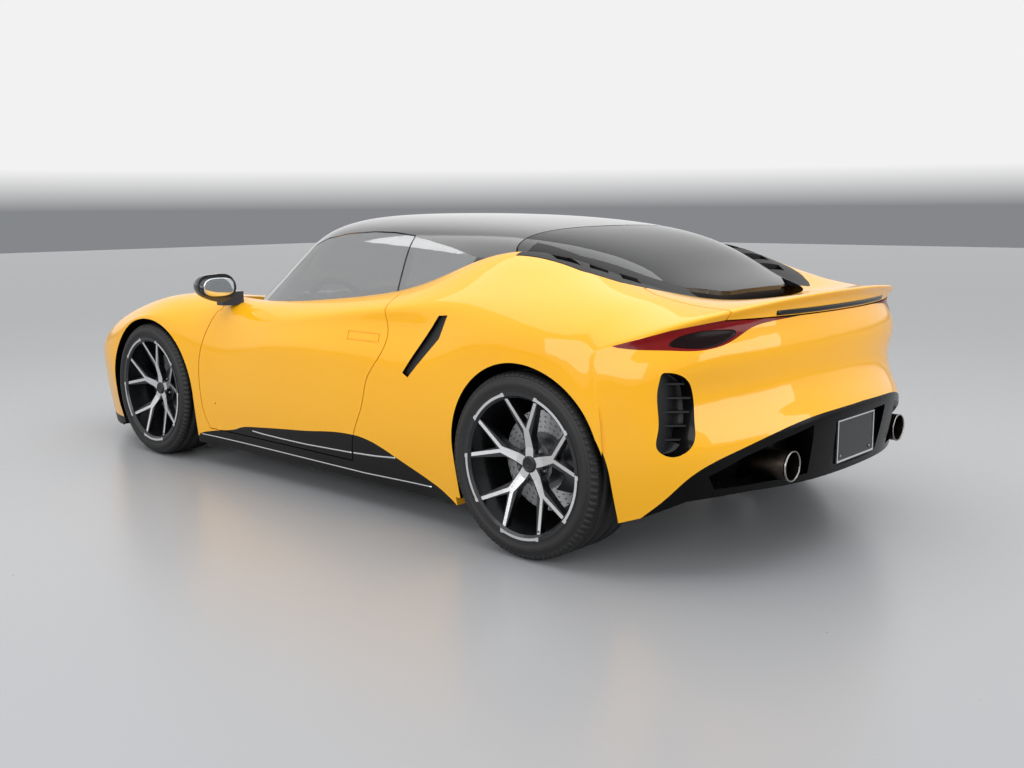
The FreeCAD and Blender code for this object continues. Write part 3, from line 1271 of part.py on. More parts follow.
def caliper(x, z, hub_back, direction):
    # A block over the disc edge, slotted for the disc.
    low_y = hub_back - hub_inset - disc_thickness - caliper_wall
    high_y = hub_back - hub_inset + caliper_wall
    ring = tube_y(x, z, caliper_outer_radius, low_y, high_y)
    core = tube_y(x, z, caliper_inner_radius, low_y, high_y)
    reach = caliper_outer_radius * direction
    block = span_box(min(x, x + reach), max(x, x + reach), low_y, high_y,
                     z - caliper_half_height, z + caliper_half_height)
    slot = tube_y(x, z, disc_radius + panel_gap, low_y + caliper_wall - panel_gap,
                  high_y - caliper_wall + panel_gap)
    return ring.cut(core).common(block).cut(slot)


caliper_wall = 26.0
caliper_outer_radius = 222.0
caliper_inner_radius = 118.0
caliper_half_height = 92.0
carrier_radius = 60.0
carrier_length = 64.0
kingpin_radius = 10.0
kingpin_reach = 118.0
arm_eye_radius = 24.0
arm_thickness = 26.0
arm_spread = 150.0
arm_tube = 30.0


def upright(x, z, hub_back, direction, tip_y):
    # Carrier, spindle and the mount that holds the caliper.
    disc_back = hub_back - hub_inset - disc_thickness
    carrier_front = disc_back - panel_gap
    carrier = tube_y(x, z, carrier_radius, carrier_front - carrier_length, carrier_front)
    spindle = tube_y(x, z, spindle_radius, carrier_front - carrier_length, tip_y)
    reach = (caliper_inner_radius + overrun / 2) * direction
    bracket = span_box(min(x, x + reach), max(x, x + reach), carrier_front - caliper_wall,
                       carrier_front, z - carrier_radius * 0.6, z + carrier_radius * 0.6)
    column_y = carrier_front - carrier_length / 2
    column = span_box(x - arm_thickness, x + arm_thickness, column_y - arm_thickness,
                      column_y + arm_thickness, z - kingpin_reach, z + kingpin_reach)
    return joined([carrier, spindle, bracket, column])


def arms(x, z, axis_y, inner_y):
    # Upper and lower wishbones, each with an eye round the pin.
    parts = []
    for sign in (1, -1):
        eye_low = z + sign * (kingpin_reach + panel_gap)
        low = min(eye_low, eye_low + sign * arm_thickness)
        high = max(eye_low, eye_low + sign * arm_thickness)
        eye = tube_z(x, axis_y, arm_eye_radius, low, high)
        legs = []
        for side in (1, -1):
            foot = x + side * arm_spread
            outline = [(x - arm_tube / 2, axis_y), (x + arm_tube / 2, axis_y),
                       (foot + arm_tube / 2, inner_y), (foot - arm_tube / 2, inner_y)]
            legs.append(plan_prism(outline, low, high))
        bore = tube_z(x, axis_y, kingpin_radius + running_clearance, low - overrun, high + overrun)
        parts.append(joined([eye] + legs).cut(bore))
    return parts


def kingpins(x, z, axis_y):
    reach = kingpin_reach + panel_gap + arm_thickness + panel_gap
    return tube_z(x, axis_y, kingpin_radius, z - reach, z + reach)


def wheels_and_carriers():
    for end in ("front", "rear"):
        front = end == "front"
        x = front_axle_x if front else rear_axle_x
        z = front_tyre_radius if front else rear_tyre_radius
        width = front_tyre_width if front else rear_tyre_width
        centre_y = front_wheel_offset if front else rear_wheel_offset
        outer_y = centre_y + width / 2 - barrel_wall / 2
        hub_back = outer_y - hub_inset - hub_plate
        direction = -1
        shapes = {
            "tyre_" + end: tyre(x, z, z, width, centre_y),
            "rim_" + end: rim(x, z, width, centre_y),
            "brake_disc_" + end: brake_disc(x, z, hub_back),
        }
        axis_y = hub_back - hub_inset - disc_thickness - panel_gap - carrier_length / 2
        body_part = upright(x, z, hub_back, direction, outer_y - hub_inset - panel_gap)
        body_part = body_part.fuse(kingpins(x, z, axis_y))
        grip = caliper(x, z, hub_back, direction)
        grip = grip.cut(body_part)
        inner_y = (front_well_inner if front else rear_well_inner)
        wishbones = Part.makeCompound(arms(x, z, axis_y, inner_y))
        for name, shape in shapes.items():
            write(name + "_left", shape)
            write(name + "_right", other_side(shape))
        if front:
            write("knuckle_left", body_part)
            write("knuckle_right", other_side(body_part))
            write("caliper_front_left", grip)
            write("caliper_front_right", other_side(grip))
        else:
            write("rear_uprights", both_sides(body_part))
            write("rear_calipers", both_sides(grip))
        write(end + "_arms", both_sides(wishbones))


wheels_and_carriers()
# Door mirrors, each carried by its door.
mirror_width = 196.0
mirror_height = 118.0
mirror_depth = 105.0
mirror_centre_shares = (25.2, 95.2, 73.0)
mirror_wall = 6.0
mirror_foot_shares = (24.6, 84.5, 66)


def mirror_left():
    centre = point(mirror_centre_shares)
    half_y = mirror_width / 2
    half_z = mirror_height / 2
    sections = []
    for depth_share, size_share in ((0, 1.0), (0.45, 0.95), (0.8, 0.7), (1.0, 0.35)):
        x = centre.x + depth_share * mirror_depth
        corners = []
        for y_share, z_share in ((-1, -0.45), (-0.7, -1), (0.55, -0.9), (1, -0.2), (0.9, 0.7),
                                 (0.2, 1), (-0.7, 0.85), (-1, 0.3)):
            corners.append(V(x, centre.y + y_share * size_share * half_y,
                             centre.z + z_share * size_share * half_z))
        curve = Part.BSplineCurve()
        curve.interpolate(corners, True)
        sections.append(Part.Wire(curve.toShape()))
    shell = Part.makeLoft(sections, True)
    foot = point(mirror_foot_shares)
    arm = plan_prism([(foot.x - arm_tube, foot.y - arm_tube), (foot.x + arm_tube, foot.y - arm_tube),
                      (centre.x + mirror_depth * 0.7, centre.y - half_y * 0.4),
                      (centre.x + mirror_depth * 0.2, centre.y - half_y * 0.4)],
                     foot.z - mirror_wall, centre.z - half_z * 0.45)
    return shell.fuse(arm)


left_mirror = carve(mirror_left(), [left_door_solid, dome["outer"]])
write("mirror_left", left_mirror)
write("mirror_right", other_side(left_mirror))


# Seats, dashboard, steering wheel, console and the engine.
seat_centre_y = 360.0
seat_width = 500.0
seat_base_x = 60.0
seat_length = 520.0
seat_low_z = 200.0
seat_cushion_height = 130.0
seat_back_thickness = 140.0
seat_back_height = 780.0
seat_lean = 250.0
dash_front_x = cabin_front_x
dash_depth = 330.0
dash_low_z = 560.0
dash_high_z = 790.0
dash_half_width = 622.0
wheel_rim_radius = 178.0
wheel_rim_tube = 15.0
wheel_centre_x = 330.0
wheel_centre_z = 740.0
wheel_tilt = 24.0
column_radius = 30.0
console_half_width = 85.0
console_height = 300.0
engine_front_x = -760.0
engine_low_z = 200.0


def seat(side):
    low_y = side * seat_centre_y - seat_width / 2
    rear_x = seat_base_x - seat_length
    base = [(rear_x, floor_top), (rear_x, seat_low_z + seat_cushion_height * 0.8),
            (seat_base_x - seat_cushion_height, seat_low_z + seat_cushion_height),
            (seat_base_x, seat_low_z + seat_cushion_height * 0.7), (seat_base_x, seat_low_z),
            (seat_base_x - seat_cushion_height, floor_top)]
    top_z = seat_low_z + seat_back_height
    back = [(rear_x, floor_top), (rear_x + seat_back_thickness, seat_low_z + seat_cushion_height * 0.5),
            (rear_x + seat_back_thickness - seat_lean * 0.6, top_z - seat_cushion_height),
            (rear_x + seat_back_thickness * 0.8 - seat_lean * 0.6, top_z),
            (rear_x + seat_back_thickness * 0.2 - seat_lean * 0.6, top_z)]
    return joined([side_prism(base, low_y, low_y + seat_width),
                   side_prism(back, low_y, low_y + seat_width)])


cabin_below_screen = span_box(cabin_rear_x, cabin_front_x, -door_inner_y, door_inner_y,
                              floor_top, up(57))


def dashboard():
    rear_x = dash_front_x - dash_depth
    outline = [(rear_x, dash_low_z + column_radius), (rear_x + column_radius, dash_low_z),
               (dash_front_x, dash_low_z), (dash_front_x, dash_high_z - column_radius),
               (dash_front_x - dash_depth * 0.5, dash_high_z), (rear_x, dash_high_z - column_radius)]
    block = side_prism(outline, -dash_half_width, dash_half_width)
    low = block.common(cabin_below_screen)
    return joined([low, block.common(dome["roof"])])


def steering_wheel():
    centre = V(wheel_centre_x, seat_centre_y, wheel_centre_z)
    tilt = math.radians(wheel_tilt)
    axis = V(-math.cos(tilt), 0, math.sin(tilt))
    rim_ring = Part.makeTorus(wheel_rim_radius, wheel_rim_tube, centre, axis)
    column = Part.makeCylinder(column_radius, dash_depth * 0.6, centre, axis * -1)
    parts = [rim_ring, column]
    for angle in (0, 180, 270):
        spoke = Part.makeCylinder(wheel_rim_tube * 0.8, wheel_rim_radius, centre, V(0, 1, 0))
        spoke.rotate(centre, V(1, 0, 0), angle)
        if angle == 270:
            spoke = Part.makeCylinder(wheel_rim_tube * 0.8, wheel_rim_radius, centre, V(0, 0, -1))
            spoke.rotate(centre, V(0, 1, 0), wheel_tilt)
        parts.append(spoke)
    return joined(parts)


def console():
    outline = [(cabin_rear_x, floor_top), (dash_front_x, floor_top), (dash_front_x, dash_low_z),
               (dash_front_x - dash_depth, dash_low_z), (seat_base_x, floor_top + console_height),
               (cabin_rear_x, floor_top + console_height)]
    return side_prism(outline, -console_half_width, console_half_width)


def engine():
    block = span_box(engine_front_x - engine_length, engine_front_x, -engine_width / 2,
                     engine_width / 2, engine_low_z, engine_low_z + engine_height)
    seat_box = span_box(engine_front_x - engine_length, engine_front_x, -engine_width / 4,
                        engine_width / 4, floor_top, engine_low_z)
    return block.fuse(seat_box)


write("seat_left", seat(1))
write("seat_right", seat(-1))
write("dashboard", dashboard().cut(console()))
wheel_shape = steering_wheel()
write("steering_wheel", wheel_shape.cut(dashboard()))
write("console", console())
write("engine", engine())
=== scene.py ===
# Looks of the two seat coupe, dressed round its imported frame.
# Metres, +X forward, +Y to the left, +Z up, as in the frame.
import bpy
import bmesh
import math
from mathutils import Matrix, Vector
from mathutils.bvhtree import BVHTree


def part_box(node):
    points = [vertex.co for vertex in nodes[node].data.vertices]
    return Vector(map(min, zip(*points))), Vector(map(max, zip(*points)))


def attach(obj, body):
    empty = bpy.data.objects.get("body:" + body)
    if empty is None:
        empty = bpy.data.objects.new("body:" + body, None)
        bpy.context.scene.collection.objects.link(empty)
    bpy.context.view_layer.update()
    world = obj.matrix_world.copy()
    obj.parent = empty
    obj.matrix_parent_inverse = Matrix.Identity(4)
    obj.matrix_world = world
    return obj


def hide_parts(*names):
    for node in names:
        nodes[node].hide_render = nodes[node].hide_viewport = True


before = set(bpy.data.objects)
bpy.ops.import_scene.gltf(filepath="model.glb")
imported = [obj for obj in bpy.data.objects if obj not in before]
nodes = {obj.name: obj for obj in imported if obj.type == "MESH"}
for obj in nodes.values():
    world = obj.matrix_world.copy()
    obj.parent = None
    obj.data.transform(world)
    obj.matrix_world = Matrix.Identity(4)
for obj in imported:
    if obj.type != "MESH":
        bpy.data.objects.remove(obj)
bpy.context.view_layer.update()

MM = 0.001
sides = ((1, "left"), (-1, "right"))

# Axle lines as (x, z), and how far the edges of the wheel arches stand from them.
front_axle = (1.2135, 0.340)
rear_axle = (-1.3615, 0.3425)
front_arch_radius = 0.365
rear_arch_radius = 0.372


# Small helpers.
def linear(code):
    """Turns an sRGB hex colour to the linear one that shaders read."""
    channels = [int(code[i:i + 2], 16) / 255 for i in (1, 3, 5)]
    return [c / 12.92 if c <= 0.04045 else ((c + 0.055) / 1.055) ** 2.4 for c in channels] + [1.0]


def add(tree, kind, settings=None, links=None):
    """Adds a node, sets its properties and inputs, and links sockets to its inputs."""
    node = tree.nodes.new(kind)
    for key, value in (settings or {}).items():
        if isinstance(key, str) and hasattr(node, key):
            setattr(node, key, value)
        else:
            node.inputs[key].default_value = value
    for key, socket in (links or {}).items():
        tree.links.new(socket, node.inputs[key])
    return node


def fill(tree, node, given):
    """Gives inputs their values: sockets are linked, hex colours and numbers are set."""
    for key, value in given:
        if isinstance(value, bpy.types.NodeSocket):
            tree.links.new(value, node.inputs[key])
        else:
            node.inputs[key].default_value = linear(value) if isinstance(value, str) else value


def maths(tree, operation, *values):
    """Adds a maths node over numbers and sockets, and gives its output socket."""
    node = add(tree, "ShaderNodeMath", {"operation": operation})
    fill(tree, node, enumerate(values))
    return node.outputs[0]


def ranged(tree, value, before=(0.0, 1.0), after=(0.0, 1.0)):
    """Maps one range of a socket to another, held at the ends."""
    return add(tree, "ShaderNodeMapRange", {"From Min": before[0], "From Max": before[1],
                                            "To Min": after[0], "To Max": after[1]},
               {"Value": value}).outputs[0]


def mixed(tree, share, first, second):
    """Mixes two colours, each a hex code or a socket, by a share."""
    node = add(tree, "ShaderNodeMix", {"data_type": "RGBA"}, {0: share})
    fill(tree, node, ((6, first), (7, second)))
    return node.outputs[2]


def pattern_scale(size_mm):
    """Noise scale for features of a given size in millimetres, in metre coordinates."""
    return 1000.0 / size_mm


def noise(tree, place, size_mm, detail=2.0):
    """Adds noise with features of about a given size."""
    return add(tree, "ShaderNodeTexNoise", {"Scale": pattern_scale(size_mm), "Detail": detail},
               {"Vector": place.outputs["Object"]})


def bumped(tree, height, strength, distance):
    """The normal that a height gives."""
    return add(tree, "ShaderNodeBump", {"Strength": strength, "Distance": distance},
               {"Height": height}).outputs["Normal"]


def axes_of(tree, place, coordinate):
    """Splits a coordinate of a place into X, Y and Z."""
    return add(tree, "ShaderNodeSeparateXYZ", links={"Vector": place.outputs[coordinate]})


def flat_length(tree, x, y):
    """The length of the vector that two sockets span."""
    flat = add(tree, "ShaderNodeCombineXYZ", links={"X": x, "Y": y})
    return add(tree, "ShaderNodeVectorMath", {"operation": "LENGTH"},
               {0: flat.outputs[0]}).outputs["Value"]


def new_material(name):
    """An empty material, its tree and its coordinates."""
    material = bpy.data.materials.new(name)
    material.use_nodes = True
    tree = material.node_tree
    tree.nodes.clear()
    return material, tree, add(tree, "ShaderNodeTexCoord")


def finish_surface(tree, settings, links):
    """Adds the shader and the output that it feeds."""
    shader = add(tree, "ShaderNodeBsdfPrincipled", settings, links)
    add(tree, "ShaderNodeOutputMaterial", links={"Surface": shader.outputs["BSDF"]})


def surface(name, colour, roughness, metallic=0.0, ior=1.5, coat=0.0, coat_roughness=0.03,
            grain_mm=1.0, bump=0.0, rough_spread=0.05, tint=None, cloud_mm=300.0, specular=None):
    """An opaque finish: base colour with a slight drift, and grain in gloss and bump."""
    material, tree, place = new_material(name)
    cloud = noise(tree, place, cloud_mm)
    drift = mixed(tree, cloud.outputs["Fac"], colour, tint or colour)
    grain = noise(tree, place, grain_mm, 3.0)
    gloss = ranged(tree, grain.outputs["Fac"],
                   after=(max(0.0, roughness - rough_spread), roughness + rough_spread))
    links = {"Base Color": drift, "Roughness": gloss}
    if bump:
        links["Normal"] = bumped(tree, grain.outputs["Fac"], bump, grain_mm * MM * 0.3)
    settings = {"Metallic": metallic, "IOR": ior, "Coat Weight": coat,
                "Coat Roughness": coat_roughness}
    if specular is not None:
        settings["Specular IOR Level"] = specular
    finish_surface(tree, settings, links)
    return material


def glass(name, colour, tint, ior=1.52, wave_mm=400.0):
    """Float glass: clear body tint, very slight waviness."""
    material, tree, place = new_material(name)
    wave = noise(tree, place, wave_mm, 1.0).outputs["Fac"]
    relief = bumped(tree, wave, 0.02, MM)
    tone = mixed(tree, wave, colour, tint)
    finish_surface(tree, {"Roughness": 0.0, "IOR": ior, "Transmission Weight": 1.0},
                   {"Base Color": tone, "Normal": relief})
    return material


# Solid warm yellow two coat paint: pigment under a hard clear lacquer with faint orange peel.
yellow_code = "#FDB40C"
yellow_drift_code = "#FFBA12"
lacquer_coat = 0.8
lacquer_specular = 0.15
blade_coat = 0.15
peel_mm = 2.5
yellow_paint = surface("solid_yellow_lacquered_paint", yellow_code, 0.36, coat=lacquer_coat,
                       coat_roughness=0.02, grain_mm=peel_mm, bump=0.02, rough_spread=0.03,
                       tint=yellow_drift_code, cloud_mm=500, specular=lacquer_specular)
# Black lacquered paint on the roof and mirrors: deep, mirror-like.
black_paint = surface("black_lacquered_paint", "#0B0B0D", 0.2, coat=1.0, coat_roughness=0.02,
                      grain_mm=peel_mm, bump=0.02, rough_spread=0.03, tint="#0E0E11")
# Piano black moulded ABS: glossy trim with soft mould waves.
gloss_black = surface("piano_black_moulded_abs", "#060607", 0.14, ior=1.45, grain_mm=6,
                      bump=0.02, rough_spread=0.04, tint="#08080A", specular=0.4)
# Diffuser moulding: the same plastic with a softer face, so that it stays dark over a pale floor.
diffuser_black = surface("dark_moulded_diffuser_abs", "#040405", 0.26, ior=1.45, grain_mm=6,
                         bump=0.02, rough_spread=0.05, tint="#060607", specular=0.14)
# Painted strips beside the hatch glass: satin, so they stay dark under the sky.
satin_black = surface("satin_black_hatch_strip", "#08080A", 0.4, grain_mm=2.0, bump=0.05,
                      rough_spread=0.05, tint="#0B0B0D", specular=0.25)
# Textured polypropylene: satin black with a fine spark eroded grain, drawn coarse enough to show.
grained_black = surface("grained_black_polypropylene", "#111214", 0.55, ior=1.49, grain_mm=1.2,
                        bump=0.25, rough_spread=0.08, tint="#16171A")
# Needle felt and moulded fibre in the arches: dull, fuzzy.
arch_felt = surface("needled_arch_felt", "#0C0C0D", 0.9, grain_mm=3.0, bump=0.6, tint="#161617",
                    cloud_mm=60)
# Coated aluminium floor and bulkhead: dark satin.
tub_metal = surface("dark_coated_aluminium", "#2A2B2D", 0.5, metallic=0.6, grain_mm=2.0, bump=0.1,
                    tint="#333437")
# Bright anodised aluminium strips.
bright_trim = surface("bright_anodised_aluminium", "#D8DADC", 0.18, metallic=1.0, grain_mm=0.8,
                      bump=0.03, tint="#E2E4E6")
# Cast aluminium carriers and arms: matt, slightly rough from the sand.
cast_metal = surface("sand_cast_aluminium", "#6E7073", 0.55, metallic=0.9, grain_mm=1.5, bump=0.3,
                     tint="#5C5E61", cloud_mm=40)
# Cast iron engine and gearbox block: dark, oily, rough.
cast_iron = surface("oiled_cast_iron", "#2C2B2A", 0.6, metallic=0.8, grain_mm=2.0, bump=0.4,
                    tint="#38342F", cloud_mm=80)
# Caliper: satin black stoved enamel.
caliper_enamel = surface("black_stoved_enamel", "#101113", 0.35, coat=0.4, grain_mm=2.0,
                         bump=0.08, tint="#17181A")
# Exhaust steel: dark brushed tube with heat tint.
exhaust_steel = surface("brushed_exhaust_steel", "#242322", 0.4, metallic=1.0, grain_mm=0.8,
                        bump=0.08, tint="#5A4F47", cloud_mm=30)
# Blank plate: satin black printed acrylic.
plate_acrylic = surface("satin_black_acrylic", "#0E0F11", 0.25, grain_mm=1.0, bump=0.03,
                        tint="#121316")
# Soft touch dashboard skin: matt with fine grain.
dash_skin = surface("soft_touch_dash_skin", "#17181A", 0.75, grain_mm=1.0, bump=0.35,
                    tint="#1D1E20")
# Head lamp: clear polycarbonate close over a dark bezel, so the whole reads as smoked and glossy.
lamp_cover = surface("clear_cover_over_dark_bezel", "#2A2D31", 0.12, coat=1.0, coat_roughness=0.01,
                     grain_mm=12.0, bump=0.02, rough_spread=0.04, tint="#5B6066", cloud_mm=45)
# Tinted safety glass.
# Its solar coating mirrors more than plain glass, so the index is set higher to match.
side_glass = glass("solar_coated_safety_glass", "#7E878B", "#848D91", ior=3.2)
screen_pane = glass("laminated_windscreen_glass", "#8E979B", "#949DA1", ior=1.7)
rear_glass = glass("dark_privacy_glass", "#3A3E42", "#3D4145")
mirror_silver = surface("silvered_mirror_glass", "#D9DDE0", 0.03, metallic=1.0, grain_mm=50,
                        rough_spread=0.01, tint="#DEE2E5")


def near_value(tree, value, limits):
    """1 where a value lies between two limits, else 0."""
    low, high = limits
    middle = maths(tree, "SUBTRACT", value, (low + high) / 2)
    apart = maths(tree, "ABSOLUTE", middle)
    return maths(tree, "LESS_THAN", apart, (high - low) / 2)


def all_of(tree, masks):
    """1 where every mask is 1."""
    whole = masks[0]
    for mask in masks[1:]:
        whole = maths(tree, "MULTIPLY", whole, mask)
    return whole


def any_of(tree, masks):
    """1 where at least one mask is 1."""
    whole = masks[0]
    for mask in masks[1:]:
        whole = maths(tree, "MAXIMUM", whole, mask)
    return whole


def ring_distance(tree, place, axle):
    """Distance from an axle line in the X-Z plane, and the angle round it."""
    centred = add(tree, "ShaderNodeMapping", {"Location": (-axle[0], 0, -axle[1])},
                  {"Vector": place.outputs["Object"]})
    split = add(tree, "ShaderNodeSeparateXYZ", links={"Vector": centred.outputs[0]})
    reach = flat_length(tree, split.outputs["X"], split.outputs["Z"])
    return reach, maths(tree, "ARCTAN2", split.outputs["Z"], split.outputs["X"])


def side_facing(tree, place, least):
    """1 where a face looks along the axle by at least a given share."""
    facing = axes_of(tree, place, "Normal")
    return maths(tree, "GREATER_THAN", maths(tree, "ABSOLUTE", facing.outputs["Y"]), least)


def turning_marks(tree, reach, pitch):
    """Fine rings about an axle, as a lathe leaves them."""
    return maths(tree, "SINE", maths(tree, "MULTIPLY", reach, 2 * math.pi / pitch))


# The rim's bright lines: stems that run from stem_root to spoke_join and part into two arms there,
# and arcs on the rim's lip between pairs of arms.
spoke_count = 5
spoke_join = 0.120
spoke_reach = 0.2615
spoke_tip_angle = math.radians(17)
cut_half_width = 0.0068
stem_root = 0.05
stem_half_width = 0.0135
stem_root_widening = 1.35
arm_overlap = 0.02
stem_overlap = 0.012
lip_arc = (0.2565, 0.2665)
arc_overlap_angle = 0.02
rim_turning_pitch = 0.0016


def spoke_mask(tree, reach, angle, first_angle):
    """1 on the bright cut lines: five stems that part into two arms, and the rim between pairs."""
    sector = 2 * math.pi / spoke_count
    turned = maths(tree, "SUBTRACT", angle, first_angle - 10 * sector)
    folded = maths(tree, "FLOORED_MODULO", turned, sector)
    centred = maths(tree, "SUBTRACT", folded, sector / 2)
    half = maths(tree, "ABSOLUTE", centred)
    # Angle from the nearest spoke's middle line, in 0 to half a sector.
    off = maths(tree, "SUBTRACT", sector / 2, half)
    cosine = maths(tree, "COSINE", off)
    sine = maths(tree, "SINE", off)
    out = maths(tree, "MULTIPLY", cosine, reach)
    aside = maths(tree, "MULTIPLY", sine, reach)
    tip_out = spoke_reach * math.cos(spoke_tip_angle) - spoke_join
    tip_aside = spoke_reach * math.sin(spoke_tip_angle)
    lean = math.atan2(tip_aside, tip_out)
    past = maths(tree, "SUBTRACT", out, spoke_join)
    cross = maths(tree, "MULTIPLY", past, math.sin(lean))
    arm = maths(tree, "MULTIPLY_ADD", aside, -math.cos(lean), cross)
    arm_gap = maths(tree, "ABSOLUTE", arm)
    on_arm = maths(tree, "LESS_THAN", arm_gap, cut_half_width)
    outside = maths(tree, "GREATER_THAN", out, spoke_join - arm_overlap)
    arms = all_of(tree, [on_arm, outside])
    width = ranged(tree, out, (stem_root, spoke_join),
                   (stem_half_width * stem_root_widening, stem_half_width))
    slim = maths(tree, "LESS_THAN", aside, width)
    inside = maths(tree, "LESS_THAN", out, spoke_join + stem_overlap)
    stem = all_of(tree, [slim, inside])
    between = maths(tree, "GREATER_THAN", off, spoke_tip_angle - arc_overlap_angle)
    lip = maths(tree, "GREATER_THAN", reach, lip_arc[0])
    edge = maths(tree, "LESS_THAN", reach, lip_arc[1])
    arc = all_of(tree, [between, lip, edge])
    return any_of(tree, [arms, stem, arc])


def diamond_cut_rim(name, axle):
    """Graphite paint with slim faces turned bright on a lathe, dark elsewhere."""
    material, tree, place = new_material(name)
    reach, angle = ring_distance(tree, place, axle)
    turned = side_facing(tree, place, 0.90)
    mask = all_of(tree, [turned, spoke_mask(tree, reach, angle, math.radians(90))])
    # Turning marks are about 0.2 mm apart in reality; 1.6 mm here, so that they show.
    wave = turning_marks(tree, reach, rim_turning_pitch)
    speck = noise(tree, place, 2.0)
    tone = mixed(tree, mask, "#1B1C1F", "#E4E5E7")
    drift = add(tree, "ShaderNodeMix", {"data_type": "RGBA", "blend_type": "MULTIPLY", 0: 0.12},
                {6: tone, 7: speck.outputs["Color"]})
    relief = bumped(tree, maths(tree, "MULTIPLY", wave, mask), 0.12, 0.1 * MM)
    gloss = ranged(tree, mask, after=(0.34, 0.21))
    sheen = ranged(tree, mask, after=(0.35, 0.9))
    finish_surface(tree, {"Coat Weight": 0.4, "Coat Roughness": 0.04},
                   {"Base Color": drift.outputs[2], "Roughness": gloss, "Metallic": sheen,
                    "Normal": relief})
    return material


# Drilled holes of the discs: curved rows round the axle, and holes of a row a pitch apart.
hole_rows = 36
hole_row_twist = 9.0
hole_row_spacing = 0.027
hole_pitch = 0.019
hole_edge = (0.0031, 0.0037)
swept_edge = (0.104, 0.106)
disc_turning_pitch = 0.002


def drilled_disc_iron(name, axle):
    """Turned grey iron with a ring of drilled holes painted near black as the shade inside them,
    and a dark vaned edge.
    """
    material, tree, place = new_material(name)
    reach, angle = ring_distance(tree, place, axle)
    twist = maths(tree, "MULTIPLY", reach, hole_row_twist)
    bent = maths(tree, "ADD", angle, twist)
    around = maths(tree, "MULTIPLY", bent, hole_rows / (2 * math.pi))
    outward = maths(tree, "MULTIPLY", reach, 1 / hole_pitch)
    cell = []
    for source, width in ((around, hole_row_spacing), (outward, hole_pitch)):
        part = maths(tree, "FRACT", source)
        middle = maths(tree, "SUBTRACT", part, 0.5)
        cell.append(maths(tree, "MULTIPLY", middle, width))
    hole = ranged(tree, flat_length(tree, *cell), hole_edge, (1.0, 0.0))
    swept = ranged(tree, reach, swept_edge)
    face = side_facing(tree, place, 0.8)
    swept_face = maths(tree, "MULTIPLY", swept, face)
    # The drilled holes are painted near black on the swept face: painted shade that stands for the
    # dark inside of each hole.
    dark = maths(tree, "MULTIPLY", hole, swept_face)
    rub = noise(tree, place, 9.0, 3.0).outputs["Fac"]
    metal = mixed(tree, rub, "#B9BBBD", "#D2D3D4")
    hat = mixed(tree, swept_face, "#77797B", metal)
    iron_with_shaded_holes = mixed(tree, dark, hat, "#0C0C0D")
    relief = bumped(tree, turning_marks(tree, reach, disc_turning_pitch), 0.1, 0.1 * MM)
    gloss = ranged(tree, rub, after=(0.3, 0.5))
    finish_surface(tree, {"Metallic": 1.0},
                   {"Base Color": iron_with_shaded_holes, "Roughness": gloss, "Normal": relief})
    return material


# Side blade: the black lower edge of the flank, as (x, top height) from the rear wheel forward.
blade_edge = [(-0.97, 0.100), (-0.88, 0.160), (-0.82, 0.185), (-0.72, 0.222), (-0.625, 0.256),
              (-0.55, 0.283), (-0.465, 0.305), (-0.38, 0.314), (0.0, 0.282), (0.33, 0.251),
              (0.45, 0.237), (0.54, 0.212), (0.73, 0.180), (0.82, 0.158)]
blade_span = (-1.0, 0.9)
blade_top = 0.4
blade_feather = 0.0006
blade_step_half = 0.003
arch_wall_slack = 0.0012

# Openings in the nose: heights as (low, high), edges as (start, slope) of |y| over z, and the
# corner openings' top edge as (start, slope) of z over |y|.
nose_duct_x = 1.85
middle_duct_z = (0.2197, 0.4056)
middle_duct_edge = (0.5052, -0.3094)
corner_duct_z = (0.1952, 0.4424)
corner_duct_inner_edge = (0.4738, 0.0912)
corner_duct_outer_edge = (0.7096, 0.155)
corner_duct_top_edge = (0.3346, 0.1387)

# Flank intakes and corner vents: their boxes, and how little their walls face outward.
intake_x = (-0.99, -0.70)
intake_z = (0.57, 0.88)
intake_facing = (-0.15, 0.15)
vent_side = (0.70, 0.87)
vent_z = (0.42, 0.74)
vent_facing = (-0.06, 0.06)
upstand_facing = 0.6


def arch_wall(tree, split, axle, radius):
    """1 on the inner walls of a wheel arch, which are no further from the axle than its edge."""
    along = maths(tree, "SUBTRACT", split.outputs["X"], axle[0])
    over = maths(tree, "SUBTRACT", split.outputs["Z"], axle[1])
    above = maths(tree, "MAXIMUM", over, 0.0)
    return maths(tree, "LESS_THAN", flat_length(tree, along, above), radius + arch_wall_slack)


def blade_depth(tree, split):
    """How far a point lies below the blade's upper edge, in metres."""
    along = ranged(tree, split.outputs["X"], blade_span)
    line = add(tree, "ShaderNodeFloatCurve", links={"Value": along})
    curve = line.mapping.curves[0]
    for x, z in blade_edge:
        curve.points.new((x - blade_span[0]) / (blade_span[1] - blade_span[0]), z / blade_top)
    curve.points[0].location = (0.0, 0.0)
    curve.points[len(curve.points) - 1].location = (1.0, 0.0)
    line.mapping.update()
    height = maths(tree, "MULTIPLY", line.outputs["Value"], blade_top)
    return maths(tree, "SUBTRACT", height, split.outputs["Z"])


